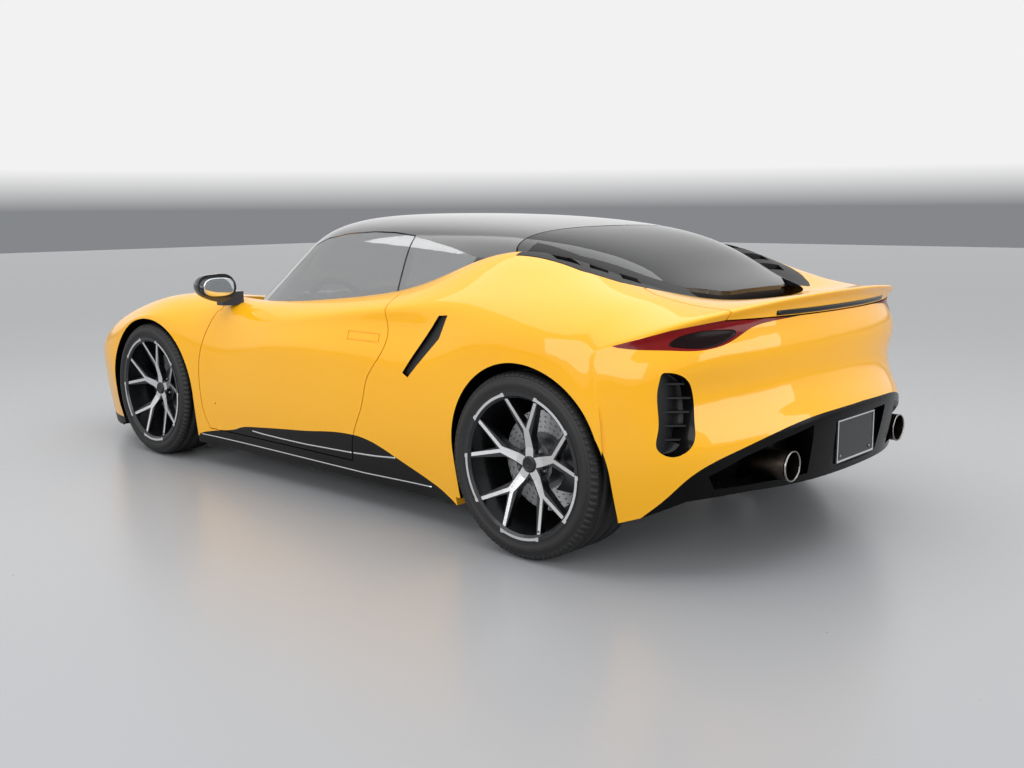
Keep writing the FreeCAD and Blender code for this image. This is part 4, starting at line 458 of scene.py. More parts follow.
def masked_lacquer(name, zones):
    """Yellow lacquer, with what the zones function marks sprayed gloss black.

    Zones gives back a mask, and the height of a small step at its edge or nothing."""
    material, tree, place = new_material(name)
    mask, step = zones(tree, axes_of(tree, place, "Object"), axes_of(tree, place, "Normal"))
    cloud = noise(tree, place, 500)
    paint = mixed(tree, cloud.outputs["Fac"], yellow_code, yellow_drift_code)
    tone = mixed(tree, mask, paint, "#070708")
    peel = noise(tree, place, peel_mm, 3.0)
    height = maths(tree, "MULTIPLY", peel.outputs["Fac"], 0.02)
    if step:
        height = maths(tree, "ADD", height, step)
    relief = bumped(tree, height, 0.5, 2 * MM)
    gloss = ranged(tree, mask, after=(0.36, 0.2))
    film = ranged(tree, mask, after=(lacquer_coat, blade_coat))
    finish_surface(tree, {"Coat Roughness": 0.02, "Specular IOR Level": lacquer_specular},
                   {"Base Color": tone, "Roughness": gloss, "Coat Weight": film,
                    "Normal": relief})
    return material


def under_line(tree, value, other, edge):
    """1 where a value lies under a straight line (start, slope) over another value, else 0."""
    start, slope = edge
    line = maths(tree, "MULTIPLY_ADD", other, slope, start)
    return maths(tree, "LESS_THAN", value, line)


def nose_ducts(tree, split):
    """1 on the walls and backs of the three openings in the nose."""
    side = maths(tree, "ABSOLUTE", split.outputs["Y"])
    height = split.outputs["Z"]
    ahead = maths(tree, "GREATER_THAN", split.outputs["X"], nose_duct_x)
    middle = all_of(tree, [ahead, near_value(tree, height, middle_duct_z),
                           under_line(tree, side, height, middle_duct_edge)])
    beyond = maths(tree, "SUBTRACT", 1.0, under_line(tree, side, height, corner_duct_inner_edge))
    corner = all_of(tree, [ahead, beyond, near_value(tree, height, corner_duct_z),
                           under_line(tree, side, height, corner_duct_outer_edge),
                           under_line(tree, height, side, corner_duct_top_edge)])
    return any_of(tree, [middle, corner])


def flank_zones(tree, split, facing):
    """Blade, flank intake, nose openings and arch walls, with a step at the blade's edge."""
    below = blade_depth(tree, split)
    blade = ranged(tree, below, (-blade_feather, blade_feather))
    step = ranged(tree, below, (-blade_step_half, blade_step_half))
    intake = all_of(tree, [near_value(tree, split.outputs["X"], intake_x),
                           near_value(tree, split.outputs["Z"], intake_z),
                           near_value(tree, facing.outputs["Y"], intake_facing)])
    return any_of(tree, [blade, intake, nose_ducts(tree, split),
                         arch_wall(tree, split, front_axle, front_arch_radius),
                         arch_wall(tree, split, rear_axle, rear_arch_radius)]), step


def tail_zones(tree, split, facing):
    """Walls of the corner vents, and the rear part of the arch walls."""
    side = maths(tree, "ABSOLUTE", split.outputs["Y"])
    vent = all_of(tree, [near_value(tree, side, vent_side),
                         near_value(tree, split.outputs["Z"], vent_z),
                         near_value(tree, facing.outputs["X"], vent_facing)])
    return any_of(tree, [vent, arch_wall(tree, split, rear_axle, rear_arch_radius)]), None


def deck_zones(tree, split, facing):
    """The deck's upstand, which faces forward under the glass."""
    return maths(tree, "GREATER_THAN", facing.outputs["X"], upstand_facing), None


flank_paint = masked_lacquer("yellow_lacquer_with_black_blade", flank_zones)
tail_paint = masked_lacquer("yellow_lacquer_with_black_vents", tail_zones)
deck_paint = masked_lacquer("yellow_lacquer_with_black_upstand", deck_zones)
# Vulcanised rubber: dead black with a faint bloom.
tyre_rubber = surface("vulcanised_tyre_rubber", "#101011", 0.6, grain_mm=1.5, bump=0.12,
                      rough_spread=0.08, tint="#171718", cloud_mm=60)
cap_black = surface("black_moulded_nylon", "#0A0A0B", 0.3, grain_mm=1.0, bump=0.05, tint="#101011")
bolt_steel = surface("zinc_flake_bolt_steel", "#8E9092", 0.38, metallic=1.0, grain_mm=0.8, bump=0.1,
                     tint="#7A7C7E")
ring_steel = surface("polished_tip_steel", "#8C8A88", 0.22, metallic=1.0, grain_mm=0.8, bump=0.05,
                     tint="#9A9896", cloud_mm=25)
soot_black = surface("sooted_steel", "#0B0A0A", 0.85, metallic=0.3, grain_mm=1.5, bump=0.3,
                     tint="#151413", cloud_mm=20)
front_rim = diamond_cut_rim("diamond_cut_alloy_front", front_axle)
rear_rim = diamond_cut_rim("diamond_cut_alloy_rear", rear_axle)
front_disc = drilled_disc_iron("drilled_disc_iron_front", front_axle)
rear_disc = drilled_disc_iron("drilled_disc_iron_rear", rear_axle)
# Red polycarbonate lens: hard and glossy, deeper where it is thick.
red_lens = surface("red_polycarbonate_lens", "#8C060B", 0.2, coat=0.2, grain_mm=4.0, bump=0.01,
                   tint="#640306", cloud_mm=90, rough_spread=0.03, specular=0.12)
smoked_lens = surface("smoked_lamp_cluster", "#080102", 0.22, grain_mm=5.0, bump=0.01,
                      tint="#1C0406", cloud_mm=25, rough_spread=0.02, specular=0.12)


def grained_hide(name, colour, tint, grain_mm, roughness):
    """Pigmented leather: pebbled cells, softer gloss on their tops than in their creases."""
    material, tree, place = new_material(name)
    cells = add(tree, "ShaderNodeTexVoronoi",
                {"feature": "DISTANCE_TO_EDGE", "Scale": pattern_scale(grain_mm)},
                {"Vector": place.outputs["Object"]})
    pore = ranged(tree, cells.outputs["Distance"], (0.0, 0.18))
    cloud = noise(tree, place, 90, 4.0)
    tone = mixed(tree, cloud.outputs["Fac"], colour, tint)
    relief = bumped(tree, pore, 0.35, 0.4 * MM)
    gloss = ranged(tree, pore, after=(roughness + 0.15, roughness))
    finish_surface(tree, {"Sheen Weight": 0.1},
                   {"Base Color": tone, "Roughness": gloss, "Normal": relief})
    return material


# Leather grain is about 1 mm in reality; 3 mm on the seats and 2 mm on the rim, so that it shows.
seat_hide = grained_hide("pebbled_black_leather", "#17171A", "#1F1F22", 3.0, 0.45)
wheel_leather = grained_hide("wheel_rim_leather", "#101012", "#161618", 2.0, 0.4)
# Laminated shell behind the pads: satin black.
seat_shell_abs = surface("satin_black_seat_shell", "#0D0D0E", 0.38, coat=0.3, grain_mm=1.5,
                         bump=0.08, tint="#121213")


# What the CAD nodes are made of.
finishes = {
    flank_paint: ["front_body", "quarter_left", "quarter_right", "door_left", "door_right",
                  "side_sills"],
    tail_paint: ["rear_bumper"],
    deck_paint: ["tailgate_deck"],
    yellow_paint: ["bonnet"],
    black_paint: ["roof", "mirror_left", "mirror_right"],
    diffuser_black: ["rear_diffuser"],
    gloss_black: ["light_bar"],
    satin_black: ["tailgate_strips"],
    grained_black: ["front_grille", "front_splitter", "rear_vents", "side_intakes"],
    arch_felt: ["wheel_liners"],
    tub_metal: ["tub"],
    screen_pane: ["windscreen"],
    side_glass: ["door_glass_left", "door_glass_right", "quarter_glass"],
    rear_glass: ["tailgate_glass"],
    lamp_cover: ["headlights"],
    plate_acrylic: ["rear_plate"],
    exhaust_steel: ["exhaust_tips"],
    cast_metal: ["front_arms", "rear_arms", "rear_uprights", "knuckle_left", "knuckle_right"],
    cast_iron: ["engine"],
    caliper_enamel: ["rear_calipers", "caliper_front_left", "caliper_front_right"],
    dash_skin: ["dashboard", "console"],
    wheel_leather: ["steering_wheel"],
    seat_hide: ["seat_left", "seat_right"],
    red_lens: ["taillights"],
    tyre_rubber: ["tyre_front_left", "tyre_front_right", "tyre_rear_left", "tyre_rear_right"],
    front_rim: ["rim_front_left", "rim_front_right"],
    rear_rim: ["rim_rear_left", "rim_rear_right"],
    front_disc: ["brake_disc_front_left", "brake_disc_front_right"],
    rear_disc: ["brake_disc_rear_left", "brake_disc_rear_right"],
}


def dress_nodes():
    """Gives each node its finish."""
    for material, names in finishes.items():
        for name in names:
            slots = nodes[name].data.materials
            slots.clear()
            slots.append(material)


dress_nodes()


# Meshes, rides and repeats.
def skin_of(*names):
    """A tree of the merged faces of some CAD nodes, for laying trim on their skin."""
    shell = bmesh.new()
    for name in names:
        shell.from_mesh(nodes[name].data)
    bmesh.ops.remove_doubles(shell, verts=shell.verts, dist=1e-5)
    tree = BVHTree.FromBMesh(shell)
    shell.free()
    return tree


def piece(name, mesh, material, body, smooth=True):
    """Puts a finished mesh in the scene, riding on its body."""
    mesh.materials.clear()
    mesh.materials.append(material)
    if smooth:
        mesh.shade_smooth()
    holder = bpy.data.objects.new(name, mesh)
    bpy.context.scene.collection.objects.link(holder)
    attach(holder, body)
    return holder


def mesh_from(name, form):
    """Closes a bmesh into a mesh with its faces outward."""
    bmesh.ops.remove_doubles(form, verts=form.verts, dist=1e-6)
    bmesh.ops.recalc_face_normals(form, faces=form.faces)
    mesh = bpy.data.meshes.new(name)
    form.to_mesh(mesh)
    form.free()
    return mesh


def bridge(form, here, there):
    """Faces between two closed rings of equal counts."""
    count = len(here)
    for k in range(count):
        following = (k + 1) % count
        form.faces.new((here[k], here[following], there[following], there[k]))


def bridge_all(form, rings):
    """Faces between each ring and the next."""
    for here, there in zip(rings, rings[1:]):
        bridge(form, here, there)


def ring_of(form, corners):
    """New vertices at a ring of corners."""
    return [form.verts.new(corner) for corner in corners]


def circle_points(count):
    """The cosine and sine of each of some even steps round a circle."""
    turns = [2 * math.pi * k / count for k in range(count)]
    return [(math.cos(turn), math.sin(turn)) for turn in turns]


def baked(mesh, kind, settings):
    """Runs one modifier on a mesh and returns the result.

    A key that starts with Socket_ is an input of the modifier's node group."""
    holder = bpy.data.objects.new("work", mesh)
    bpy.context.scene.collection.objects.link(holder)
    modifier = holder.modifiers.new(kind.lower(), kind)
    for key, value in settings.items():
        if key.startswith("Socket_"):
            modifier[key] = value
        else:
            setattr(modifier, key, value)
    graph = bpy.context.evaluated_depsgraph_get()
    result = bpy.data.meshes.new_from_object(holder.evaluated_get(graph))
    holder.modifiers.clear()
    bpy.data.objects.remove(holder)
    return result


def lathe(name, profile, centre, steps=96, along="y"):
    """Turns a closed profile of (radius, distance) about a line through centre, along y or x."""
    form = bmesh.new()
    rings = []
    for cosine, sine in circle_points(steps):
        if along == "y":
            offsets = [(r * cosine, d, r * sine) for r, d in profile]
        else:
            offsets = [(d, r * cosine, r * sine) for r, d in profile]
        rings.append(ring_of(form, [[c + o for c, o in zip(centre, offset)] for offset in offsets]))
    bridge_all(form, rings + rings[:1])
    return mesh_from(name, form)


def ribbon(name, sections):
    """A closed bar through sections of equal corner counts."""
    form = bmesh.new()
    rings = [ring_of(form, section) for section in sections]
    bridge_all(form, rings)
    form.faces.new(list(reversed(rings[0])))
    form.faces.new(rings[-1])
    return mesh_from(name, form)


def tree_socket(tree, name, kind, value=None):
    """Adds an input to a node group and gives its identifier."""
    socket = tree.interface.new_socket(name=name, in_out="INPUT", socket_type=kind)
    if value is not None:
        socket.default_value = value
    return socket.identifier


def turned_repeat_tree():
    """Copies the incoming shape about the Y axis, then moves the ring to its centre."""
    tree = bpy.data.node_groups.new("turned_repeat", "GeometryNodeTree")
    tree.interface.new_socket(name="Geometry", in_out="OUTPUT", socket_type="NodeSocketGeometry")
    tree_socket(tree, "Geometry", "NodeSocketGeometry")
    keys = {"copies": tree_socket(tree, "Copies", "NodeSocketInt", 5),
            "first_angle": tree_socket(tree, "First Angle", "NodeSocketFloat", 0.0),
            "centre": tree_socket(tree, "Centre", "NodeSocketVector"),
            "material": tree_socket(tree, "Material", "NodeSocketMaterial")}
    given = add(tree, "NodeGroupInput")
    index = add(tree, "GeometryNodeInputIndex")
    step = maths(tree, "DIVIDE", -2 * math.pi, given.outputs["Copies"])
    turn = maths(tree, "MULTIPLY_ADD", index.outputs[0], step, given.outputs["First Angle"])
    angles = add(tree, "ShaderNodeCombineXYZ", links={"Y": turn})
    points = add(tree, "GeometryNodePoints", links={"Count": given.outputs["Copies"],
                                                    "Position": given.outputs["Centre"]})
    copies = add(tree, "GeometryNodeInstanceOnPoints",
                 links={"Points": points.outputs[0], "Instance": given.outputs["Geometry"],
                        "Rotation": angles.outputs[0]})
    real = add(tree, "GeometryNodeRealizeInstances", links={"Geometry": copies.outputs[0]})
    coated = add(tree, "GeometryNodeSetMaterial", links={"Geometry": real.outputs[0],
                                                         "Material": given.outputs["Material"]})
    add(tree, "NodeGroupOutput", links={"Geometry": coated.outputs[0]})
    return tree, keys


turned_repeat, turned_keys = turned_repeat_tree()


def repeated(mesh, **values):
    """Bakes a turned repeat of a mesh, the tree's inputs set by name."""
    settings = {"node_group": turned_repeat}
    settings.update({turned_keys[name]: value for name, value in values.items()})
    return baked(mesh, "NODES", settings)


# Wheels: axle line, middle of the tread, tyre radius and width, and side of the car.
wheel_sites = {
    "front_left": (front_axle, 0.800, 0.340, 0.245, 1),
    "front_right": (front_axle, -0.800, 0.340, 0.245, -1),
    "rear_left": (rear_axle, 0.790, 0.3425, 0.295, 1),
    "rear_right": (rear_axle, -0.790, 0.3425, 0.295, -1),
}
bead_radius = 0.256
tyre_wall = 0.012
groove_depth = 0.0068
groove_shares = (0.60, 0.22)
tyre_steps = 128
shoulder_blocks = 88
block_share = 0.78
block_depth = 0.004
block_turn = 0.05
rim_inset = 0.0045
hub_face_sink = 0.058
# Cap, bolts and valve: closed profiles as (radius, distance out), and where they stand.
axis_radius = 0.00002
cap_profile = [(axis_radius, -0.004), (0.0305, -0.004), (0.0305, 0.003), (0.028, 0.0062),
               (0.0215, 0.008), (0.0204, 0.0068), (0.011, 0.008), (axis_radius, 0.0086)]
bolt_profile = [(0.0115, 0.0), (0.0115, 0.002), (0.0085, 0.0025), (0.0085, 0.009), (0.007, 0.0105),
                (0.004, 0.0112)]
valve_profile = [(axis_radius, 0.0), (0.0042, 0.0), (0.0045, 0.02), (0.0036, 0.024),
                 (0.0036, 0.034), (axis_radius, 0.035)]
bolt_count = 5
bolt_circle_radius = 0.05715
bolt_sink = 0.024
first_bolt_angle = -math.radians(90 + 36)
valve_angle = math.radians(250)
valve_reach = 0.238
valve_sink = 0.05


def tyre_profile(radius, width):
    """The tyre's section, one half mirrored.

    It runs over bead, rim guard, bulged side, shoulder and grooved crown, and back inside."""
    half = width / 2
    seat = half - 0.0225
    outer = [(bead_radius + 0.001, seat), (0.262, seat + 0.012), (0.272, seat + 0.0165),
             (0.277, seat + 0.0145), (0.288, half - 0.001), (0.300, half), (0.3115, half - 0.0035),
             (0.3125, half - 0.0055), (0.3185, half - 0.0075), (radius - 0.0125, half - 0.0125),
             (radius - 0.0055, half - 0.022), (radius - 0.0025, half - 0.034)]
    crown = []
    for share in groove_shares:
        edge = half * share
        crown += [(radius - 0.0008, edge + 0.0062), (radius - groove_depth, edge + 0.0048),
                  (radius - groove_depth, edge - 0.0048), (radius - 0.0006, edge - 0.0062)]
    near = outer + crown
    far = [(r, -y) for r, y in reversed(near)]
    inner = [(bead_radius + 0.001, -seat + 0.016), (radius - tyre_wall - 0.012, -half + 0.03),
             (radius - tyre_wall - 0.012, half - 0.03), (bead_radius + 0.001, seat - 0.016)]
    return near + far + inner


def tread_block(radius, width, side):
    """One raised shoulder bar, skewed as it runs over the edge of the tread."""
    half = width / 2
    length = math.pi * radius / shoulder_blocks * block_share
    sections = []
    for reach, height, shift in ((half - 0.0092, radius - 0.0165, 0.0),
                                 (half - 0.0135, radius - 0.0105, 0.001),
                                 (half - 0.024, radius - 0.0032, 0.003),
                                 (half - 0.044, radius - 0.0008, 0.006)):
        sections.append([(height, side * reach, shift - length),
                         (height, side * reach, shift + length),
                         (height - block_depth, side * reach, shift + length),
                         (height - block_depth, side * reach, shift - length)])
    return ribbon("tread_block", sections)


def joined_mesh(name, meshes):
    """One mesh with the faces of all."""
    form = bmesh.new()
    for mesh in meshes:
        form.from_mesh(mesh)
    mesh = bpy.data.meshes.new(name)
    form.to_mesh(mesh)
    form.free()
    return mesh


def hub_bolt():
    """A hexagon head with a domed top and a washer face, pointing along +Y on the bolt circle."""
    form = bmesh.new()
    rings = []
    for radius, depth in bolt_profile:
        corners = [(radius * math.cos(k * math.pi / 3), depth, radius * math.sin(k * math.pi / 3))
                   for k in range(6)]
        rings.append(ring_of(form, corners))
    bridge_all(form, rings)
    form.faces.new(rings[0])
    form.faces.new(rings[-1])
    bolt = mesh_from("hub_bolt", form)
    bolt.transform(Matrix.Translation((bolt_circle_radius, -bolt_sink, 0.0)))
    return bolt


def moved(mesh, place, flip_y=False):
    """Mirrors a mesh to the right side if asked, then moves it to its place."""
    if flip_y:
        for vertex in mesh.vertices:
            vertex.co.y = -vertex.co.y
        mesh.flip_normals()
    mesh.transform(Matrix.Translation(place))
    return mesh


def dress_wheel(site):
    """Tyre, cap, bolts and valve of one wheel."""
    (axle_x, axle_z), centre_y, radius, width, side = wheel_sites[site]
    body = "wheel_" + site
    middle = (axle_x, centre_y, axle_z)
    hub_face = (axle_x, side * (abs(centre_y) + width / 2 - rim_inset - hub_face_sink), axle_z)
    shapes = [lathe("tyre_" + site, tyre_profile(radius, width), middle, tyre_steps)]
    for edge in (1, -1):
        shapes.append(repeated(tread_block(radius, width, edge), copies=shoulder_blocks,
                               first_angle=block_turn * edge, centre=middle,
                               material=tyre_rubber))
    tyre = piece("dressed_tyre_" + site, joined_mesh("tyre", shapes), tyre_rubber, body)
    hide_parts("tyre_" + site)
    cap = moved(lathe("cap", cap_profile, (0, 0, 0), 48), hub_face, side < 0)
    piece("hub_cap_" + site, cap, cap_black, body)
    bolts = repeated(hub_bolt(), copies=bolt_count, first_angle=first_bolt_angle,
                     centre=(0.0, 0.0, 0.0), material=bolt_steel)
    piece("wheel_bolts_" + site, moved(bolts, hub_face, side < 0), bolt_steel, body,
          smooth=False)
    valve_place = (axle_x + valve_reach * math.cos(valve_angle),
                   side * (abs(centre_y) + width / 2 - valve_sink),
                   axle_z + valve_reach * math.sin(valve_angle))
    stem = moved(lathe("valve", valve_profile, (0, 0, 0), 16), valve_place, side < 0)
    piece("valve_" + site, stem, cap_black, body)


for wheel_site in wheel_sites:
    dress_wheel(wheel_site)


# Trim laid on the skin. Rays start well outside the body, level, toward its skin.
flank_ray_y = 1.4
tail_ray_x = -3.0
strip_rise = 0.0016


def flank_hit(skin, x, z, side):
    """Where a level line from the side meets the skin, with the normal there."""
    place, normal, _, _ = skin.ray_cast(Vector((x, side * flank_ray_y, z)), Vector((0, -side, 0)))
    return place, normal


def tail_hit(skin, y, z):
    """Where a level line from behind meets the skin, with the rearward normal there."""
    place, normal, _, _ = skin.ray_cast(Vector((tail_ray_x, y, z)), Vector((1, 0, 0)))
    if place is not None and normal.x > 0:
        normal = -normal
    return place, normal


def laid_strip(name, skin, line, side, width, steps=24):
    """A slim bar along a side-view line of (x, z) points, standing a little off the skin."""
    points = []
    for (x0, z0), (x1, z1) in zip(line, line[1:]):
        for k in range(steps):
            share = k / steps
            points.append((x0 + (x1 - x0) * share, z0 + (z1 - z0) * share))
    points.append(line[-1])
    sections = []
    for x, z in points:
        place, normal = flank_hit(skin, x, z, side)
        if place is None:
            continue
        if normal.y * side < 0:
            normal = -normal
        up_way = Vector((0, 0, 1)) - normal * normal.z
        up_way.normalize()
        across = up_way * width / 2
        base = place - normal * strip_rise
        face = place + normal * strip_rise
        sections.append([base + across, face + across * 0.8, face - across * 0.8, base - across])
    return ribbon(name, sections)


sill_skins = {side: skin_of("side_sills", "door_" + word, "quarter_" + word, "front_body")
              for side, word in sides}

# Bright lines on the blade as (x, z): a long low one, and a short upper one from door to quarter.
door_edge_x = -0.342
line_clearance = 0.004
low_line = [(0.83, 0.155), (0.30, 0.152), (-0.40, 0.148), (-0.82, 0.160)]
door_line = [(0.385, 0.226), (0.30, 0.222), (0.15, 0.220), (-0.02, 0.220), (-0.19, 0.225),
             (door_edge_x + line_clearance, 0.2295)]
quarter_line = [(door_edge_x - line_clearance, 0.2305), (-0.50, 0.239), (-0.625, 0.251)]


def sill_brightwork():
    """The bright lines of both sides; the upper one rides on its door up to the shut line."""
    for side, word in sides:
        low = laid_strip("low_line", sill_skins[side], low_line, side, 0.006)
        piece("sill_low_line_" + word, low, bright_trim, "root")
        upper = laid_strip("door_line", skin_of("door_" + word), door_line, side, 0.007)
        piece("blade_line_door_" + word, upper, bright_trim, "door_" + word)
        rear = laid_strip("quarter_line", skin_of("quarter_" + word), quarter_line, side, 0.008)
        piece("blade_line_quarter_" + word, rear, bright_trim, "root")


sill_brightwork()


# Tail details: closed profiles as (radius, x) for the exhaust's rolled rings and baffles.
tip_half_width = 0.052
tips_low, tips_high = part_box("exhaust_tips")
tip_z = (tips_low[2] + tips_high[2]) / 2
tip_y = tips_high[1] - tip_half_width
tip_x = tips_low[0]
rolled_profile = [(0.0485, 0.004), (0.0485, -0.001), (0.0497, -0.0035), (0.0515, -0.0042),
                  (0.0533, -0.003), (0.0538, 0.0), (0.0533, 0.006), (0.0522, 0.006)]
baffle_profile = [(0.0002, 0.101), (0.0475, 0.099), (0.0475, 0.104), (0.0002, 0.106)]


def exhaust_trim():
    """A bright rolled ring on each tip's mouth, and a sooted baffle inside."""
    for side, word in sides:
        mouth = (tip_x, side * tip_y, tip_z)
        ring = lathe("ring", rolled_profile, mouth, 64, "x")
        piece("exhaust_ring_" + word, ring, ring_steel, "root")
        disc = lathe("baffle", baffle_profile, mouth, 48, "x")
        piece("exhaust_baffle_" + word, disc, soot_black, "root")


exhaust_trim()
plate_low, plate_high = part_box("rear_plate")
plate_margin = 0.002
plate_rim_width = 0.007
plate_rim_rise = 0.0035
plate_bolt_y = 0.118
plate_bolt_profile = [(0.0001, -0.0042), (0.003, -0.004), (0.0055, -0.003), (0.0062, -0.0012),
                      (0.0062, 0.0), (0.0001, 0.0)]


def frame_bar(name, y_span, z_span, x_span, chamfer):
    """A bar of the plate frame with its outer edges eased."""
    x_back, x_front = x_span
    z0, z1 = z_span
    corners = [(x_back, z0), (x_front + chamfer, z0), (x_front, z0 + chamfer),
               (x_front, z1 - chamfer), (x_front + chamfer, z1), (x_back, z1)]
    return ribbon(name, [[(x, y, z) for x, z in corners] for y in y_span])


def plate_trim():
    """A bright frame of four bars round the blank plate, and its two bolts."""
    x_span = (plate_low[0] - 0.0002, plate_low[0] - plate_rim_rise)
    y0, y1 = plate_low[1] + plate_margin, plate_high[1] - plate_margin
    z0, z1 = plate_low[2] + plate_margin, plate_high[2] - plate_margin
    wide = plate_rim_width
    bars = [frame_bar("low", (y0, y1), (z0, z0 + wide), x_span, 0.001),
            frame_bar("high", (y0, y1), (z1 - wide, z1), x_span, 0.001)]
    for y_span in ((y0, y0 + wide), (y1 - wide, y1)):
        bars.append(frame_bar("side", y_span, (z0 + wide, z1 - wide), x_span, 0.0008))
    piece("plate_frame", joined_mesh("plate_frame", bars), bright_trim, "root",
          smooth=False)
    for side, word in sides:
        spot = (plate_low[0] - 0.0001, side * plate_bolt_y, z0 + 0.022)
        bolt = lathe("bolt", plate_bolt_profile, spot, 24, "x")
        piece("plate_bolt_" + word, bolt, bolt_steel, "root")


plate_trim()
tail_skin = skin_of("rear_bumper", "tailgate_deck", "quarter_left", "quarter_right", "taillights",
                    "rear_diffuser")


def rear_strip(name, skin, line, height, rise):
    """A bar along a rear-view line of (y, z) points, laid on the tail's skin."""
    sections = []
    for y, z in line:
        place, normal = tail_hit(skin, y, z)
        if place is None:
            continue
        up_way = (Vector((0, 0, 1)) - normal * normal.z).normalized() * height / 2
        base = place - normal * rise
        face = place + normal * rise
        sections.append([base + up_way, face + up_way * 0.9, face - up_way * 0.9, base - up_way])
    return ribbon(name, sections)


# Mirror glass: a rounded oblong in the rear-facing mouth of each mirror, dished toward its middle.
mirror_y, mirror_z = 0.902, 0.895
mirror_half_width, mirror_half_height = 0.082, 0.043
mirror_roundness = 0.72
mirror_rings = ((1.0, 0.0015), (0.985, 0.003), (0.93, 0.0034), (0.5, 0.0042))


def softened(value):
    """A cosine or sine drawn out toward the corners of an oblong."""
    return math.copysign(abs(value) ** mirror_roundness, value)


def mirror_faces():
    """Silvered glass in each mirror, riding on its door."""
    for side, word in sides:
        low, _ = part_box("mirror_" + word)
        outline = [(softened(cosine), softened(sine)) for cosine, sine in circle_points(48)]
        form = bmesh.new()
        rings = []
        for scale, sink in mirror_rings:
            corners = [(low[0] - sink, side * mirror_y + side * a * mirror_half_width * scale,
                        mirror_z + b * mirror_half_height * scale) for a, b in outline]
            rings.append(ring_of(form, corners))
        bridge_all(form, rings)
        form.faces.new(rings[0])
        form.faces.new(rings[-1])
        piece("mirror_glass_" + word, mesh_from("mirror_glass", form), mirror_silver,
              "door_" + word)


mirror_faces()


# Seats and the things round them.
def cubic(a, b, c, d, t):
    """A smooth curve through b and c, read at a share t between them."""
    return (0.5 * ((2 * b) + (c - a) * t + (2 * a - 5 * b + 4 * c - d) * t * t
                   + (3 * b - a - 3 * c + d) * t ** 3))


def eased(points, share):
    """Reads a list of equal tuples at a share of its length, smoothly."""
    place = share * (len(points) - 1)
    index = min(int(place), len(points) - 2)
    near = (points[max(index - 1, 0)], points[index], points[index + 1],
            points[min(index + 2, len(points) - 1)])
    return [cubic(*values, place - index) for values in zip(*near)]


def spine_normal(spine, share):
    """The way out of a seat's face at a share of its spine's length."""
    ahead = eased(spine, min(share + 0.01, 1.0))
    behind = eased(spine, max(share - 0.01, 0.0))
    way = Vector((ahead[0] - behind[0], 0, ahead[1] - behind[1])).normalized()
    normal = Vector((-way.z, 0, way.x))
    return -normal if normal.x * 0.6 + normal.z < 0 else normal


# A pad's section, as shares of its half width, and depths of its seams in metres.
seat_centre_y = 0.36
crown_half = 0.55
bolster_start, bolster_span = 0.52, 0.24
seam_place, seam_half, seam_depth = 0.54, 0.018, 0.007
flute_half, flute_depth = 0.09, 0.006
pad_side_ease = 0.14
pad_end_ease = 0.16
pad_back = 0.012


def seat_pad(name, spine, side, rows=72, columns=44, flutes=0, flute_span=(0.2, 0.8)):
    """A crowned pad along a spine of (x, z, half width, crown, wing) with sewn channels across.

    The wing is how far the side bolsters stand over the crown; the back of the pad is flat."""
    centre_y = side * seat_centre_y
    form = bmesh.new()
    front, rear = [], []
    for row in range(rows + 1):
        share = row / rows
        x, z, half, crown, wing = eased(spine, share)
        normal = spine_normal(spine, share)
        from_end = min(share, 1 - share)
        end_ease = 1.0
        if from_end < pad_end_ease:
            end_ease = min(1.0, math.sin(math.pi * from_end / pad_end_ease / 2))
        line, back_line = [], []
        for column in range(columns + 1):
            v = -1 + 2 * column / columns
            inward = abs(v)
            past_edge = max(0.0, (inward - (1 - pad_side_ease)) / pad_side_ease)
            edge_ease = math.sqrt(max(0.0, 1 - past_edge ** 2))
            bolster = max(0.0, min(1.0, (inward - bolster_start) / bolster_span))
            bolster = bolster * bolster * (3 - 2 * bolster)
            dome = 1 - 0.25 * (v / crown_half) ** 2 if inward < crown_half else 0.75
            seam = math.exp(-((inward - seam_place) / seam_half) ** 2) * seam_depth
            if flutes and inward < seam_place and flute_span[0] < share < flute_span[1]:
                beat = (share - flute_span[0]) / (flute_span[1] - flute_span[0]) * flutes
                near = abs(beat - round(beat))
                seam += flute_depth * math.exp(-(near / flute_half) ** 2)
            lift = (crown * dome + wing * bolster - seam) * edge_ease * end_ease
            spot = Vector((x, centre_y + v * half * (0.97 + 0.03 * end_ease), z))
            line.append(form.verts.new(spot + normal * lift))
            back_line.append(form.verts.new(spot - normal * pad_back * edge_ease * end_ease))
        front.append(line)
        rear.append(back_line)
    for row in range(rows):
        for column in range(columns):
            form.faces.new((front[row][column], front[row + 1][column],
                            front[row + 1][column + 1], front[row][column + 1]))
            form.faces.new((rear[row][column], rear[row][column + 1], rear[row + 1][column + 1],
                            rear[row + 1][column]))
    for row in range(rows):
        for column in (0, columns):
            form.faces.new((front[row][column], rear[row][column], rear[row + 1][column],
                            front[row + 1][column]))
    for column in range(columns):
        for row in (0, rows):
            form.faces.new((front[row][column], front[row][column + 1], rear[row][column + 1],
                            rear[row][column]))
    return mesh_from(name, form)


def seat_shell(name, spine, side, rows=40, columns=20):
    """The hard back and base the pads sit in, a curved sheet with its sides rolled forward."""
    form = bmesh.new()
    lines = []
    for row in range(rows + 1):
        x, z, half, curl = eased(spine, row / rows)
        normal = spine_normal(spine, row / rows)
        line = []
        for column in range(columns + 1):
            v = -1 + 2 * column / columns
            rise = curl * max(0.0, (abs(v) - 0.6) / 0.4) ** 2
            spot = Vector((x, side * seat_centre_y + v * half, z))
            line.append(form.verts.new(spot + normal * rise))
        lines.append(line)
    for here, there in zip(lines, lines[1:]):
        for column in range(columns):
            form.faces.new((here[column], here[column + 1], there[column + 1], there[column]))
    return baked(mesh_from(name, form), "SOLIDIFY", {"thickness": 0.008, "offset": 0.0})


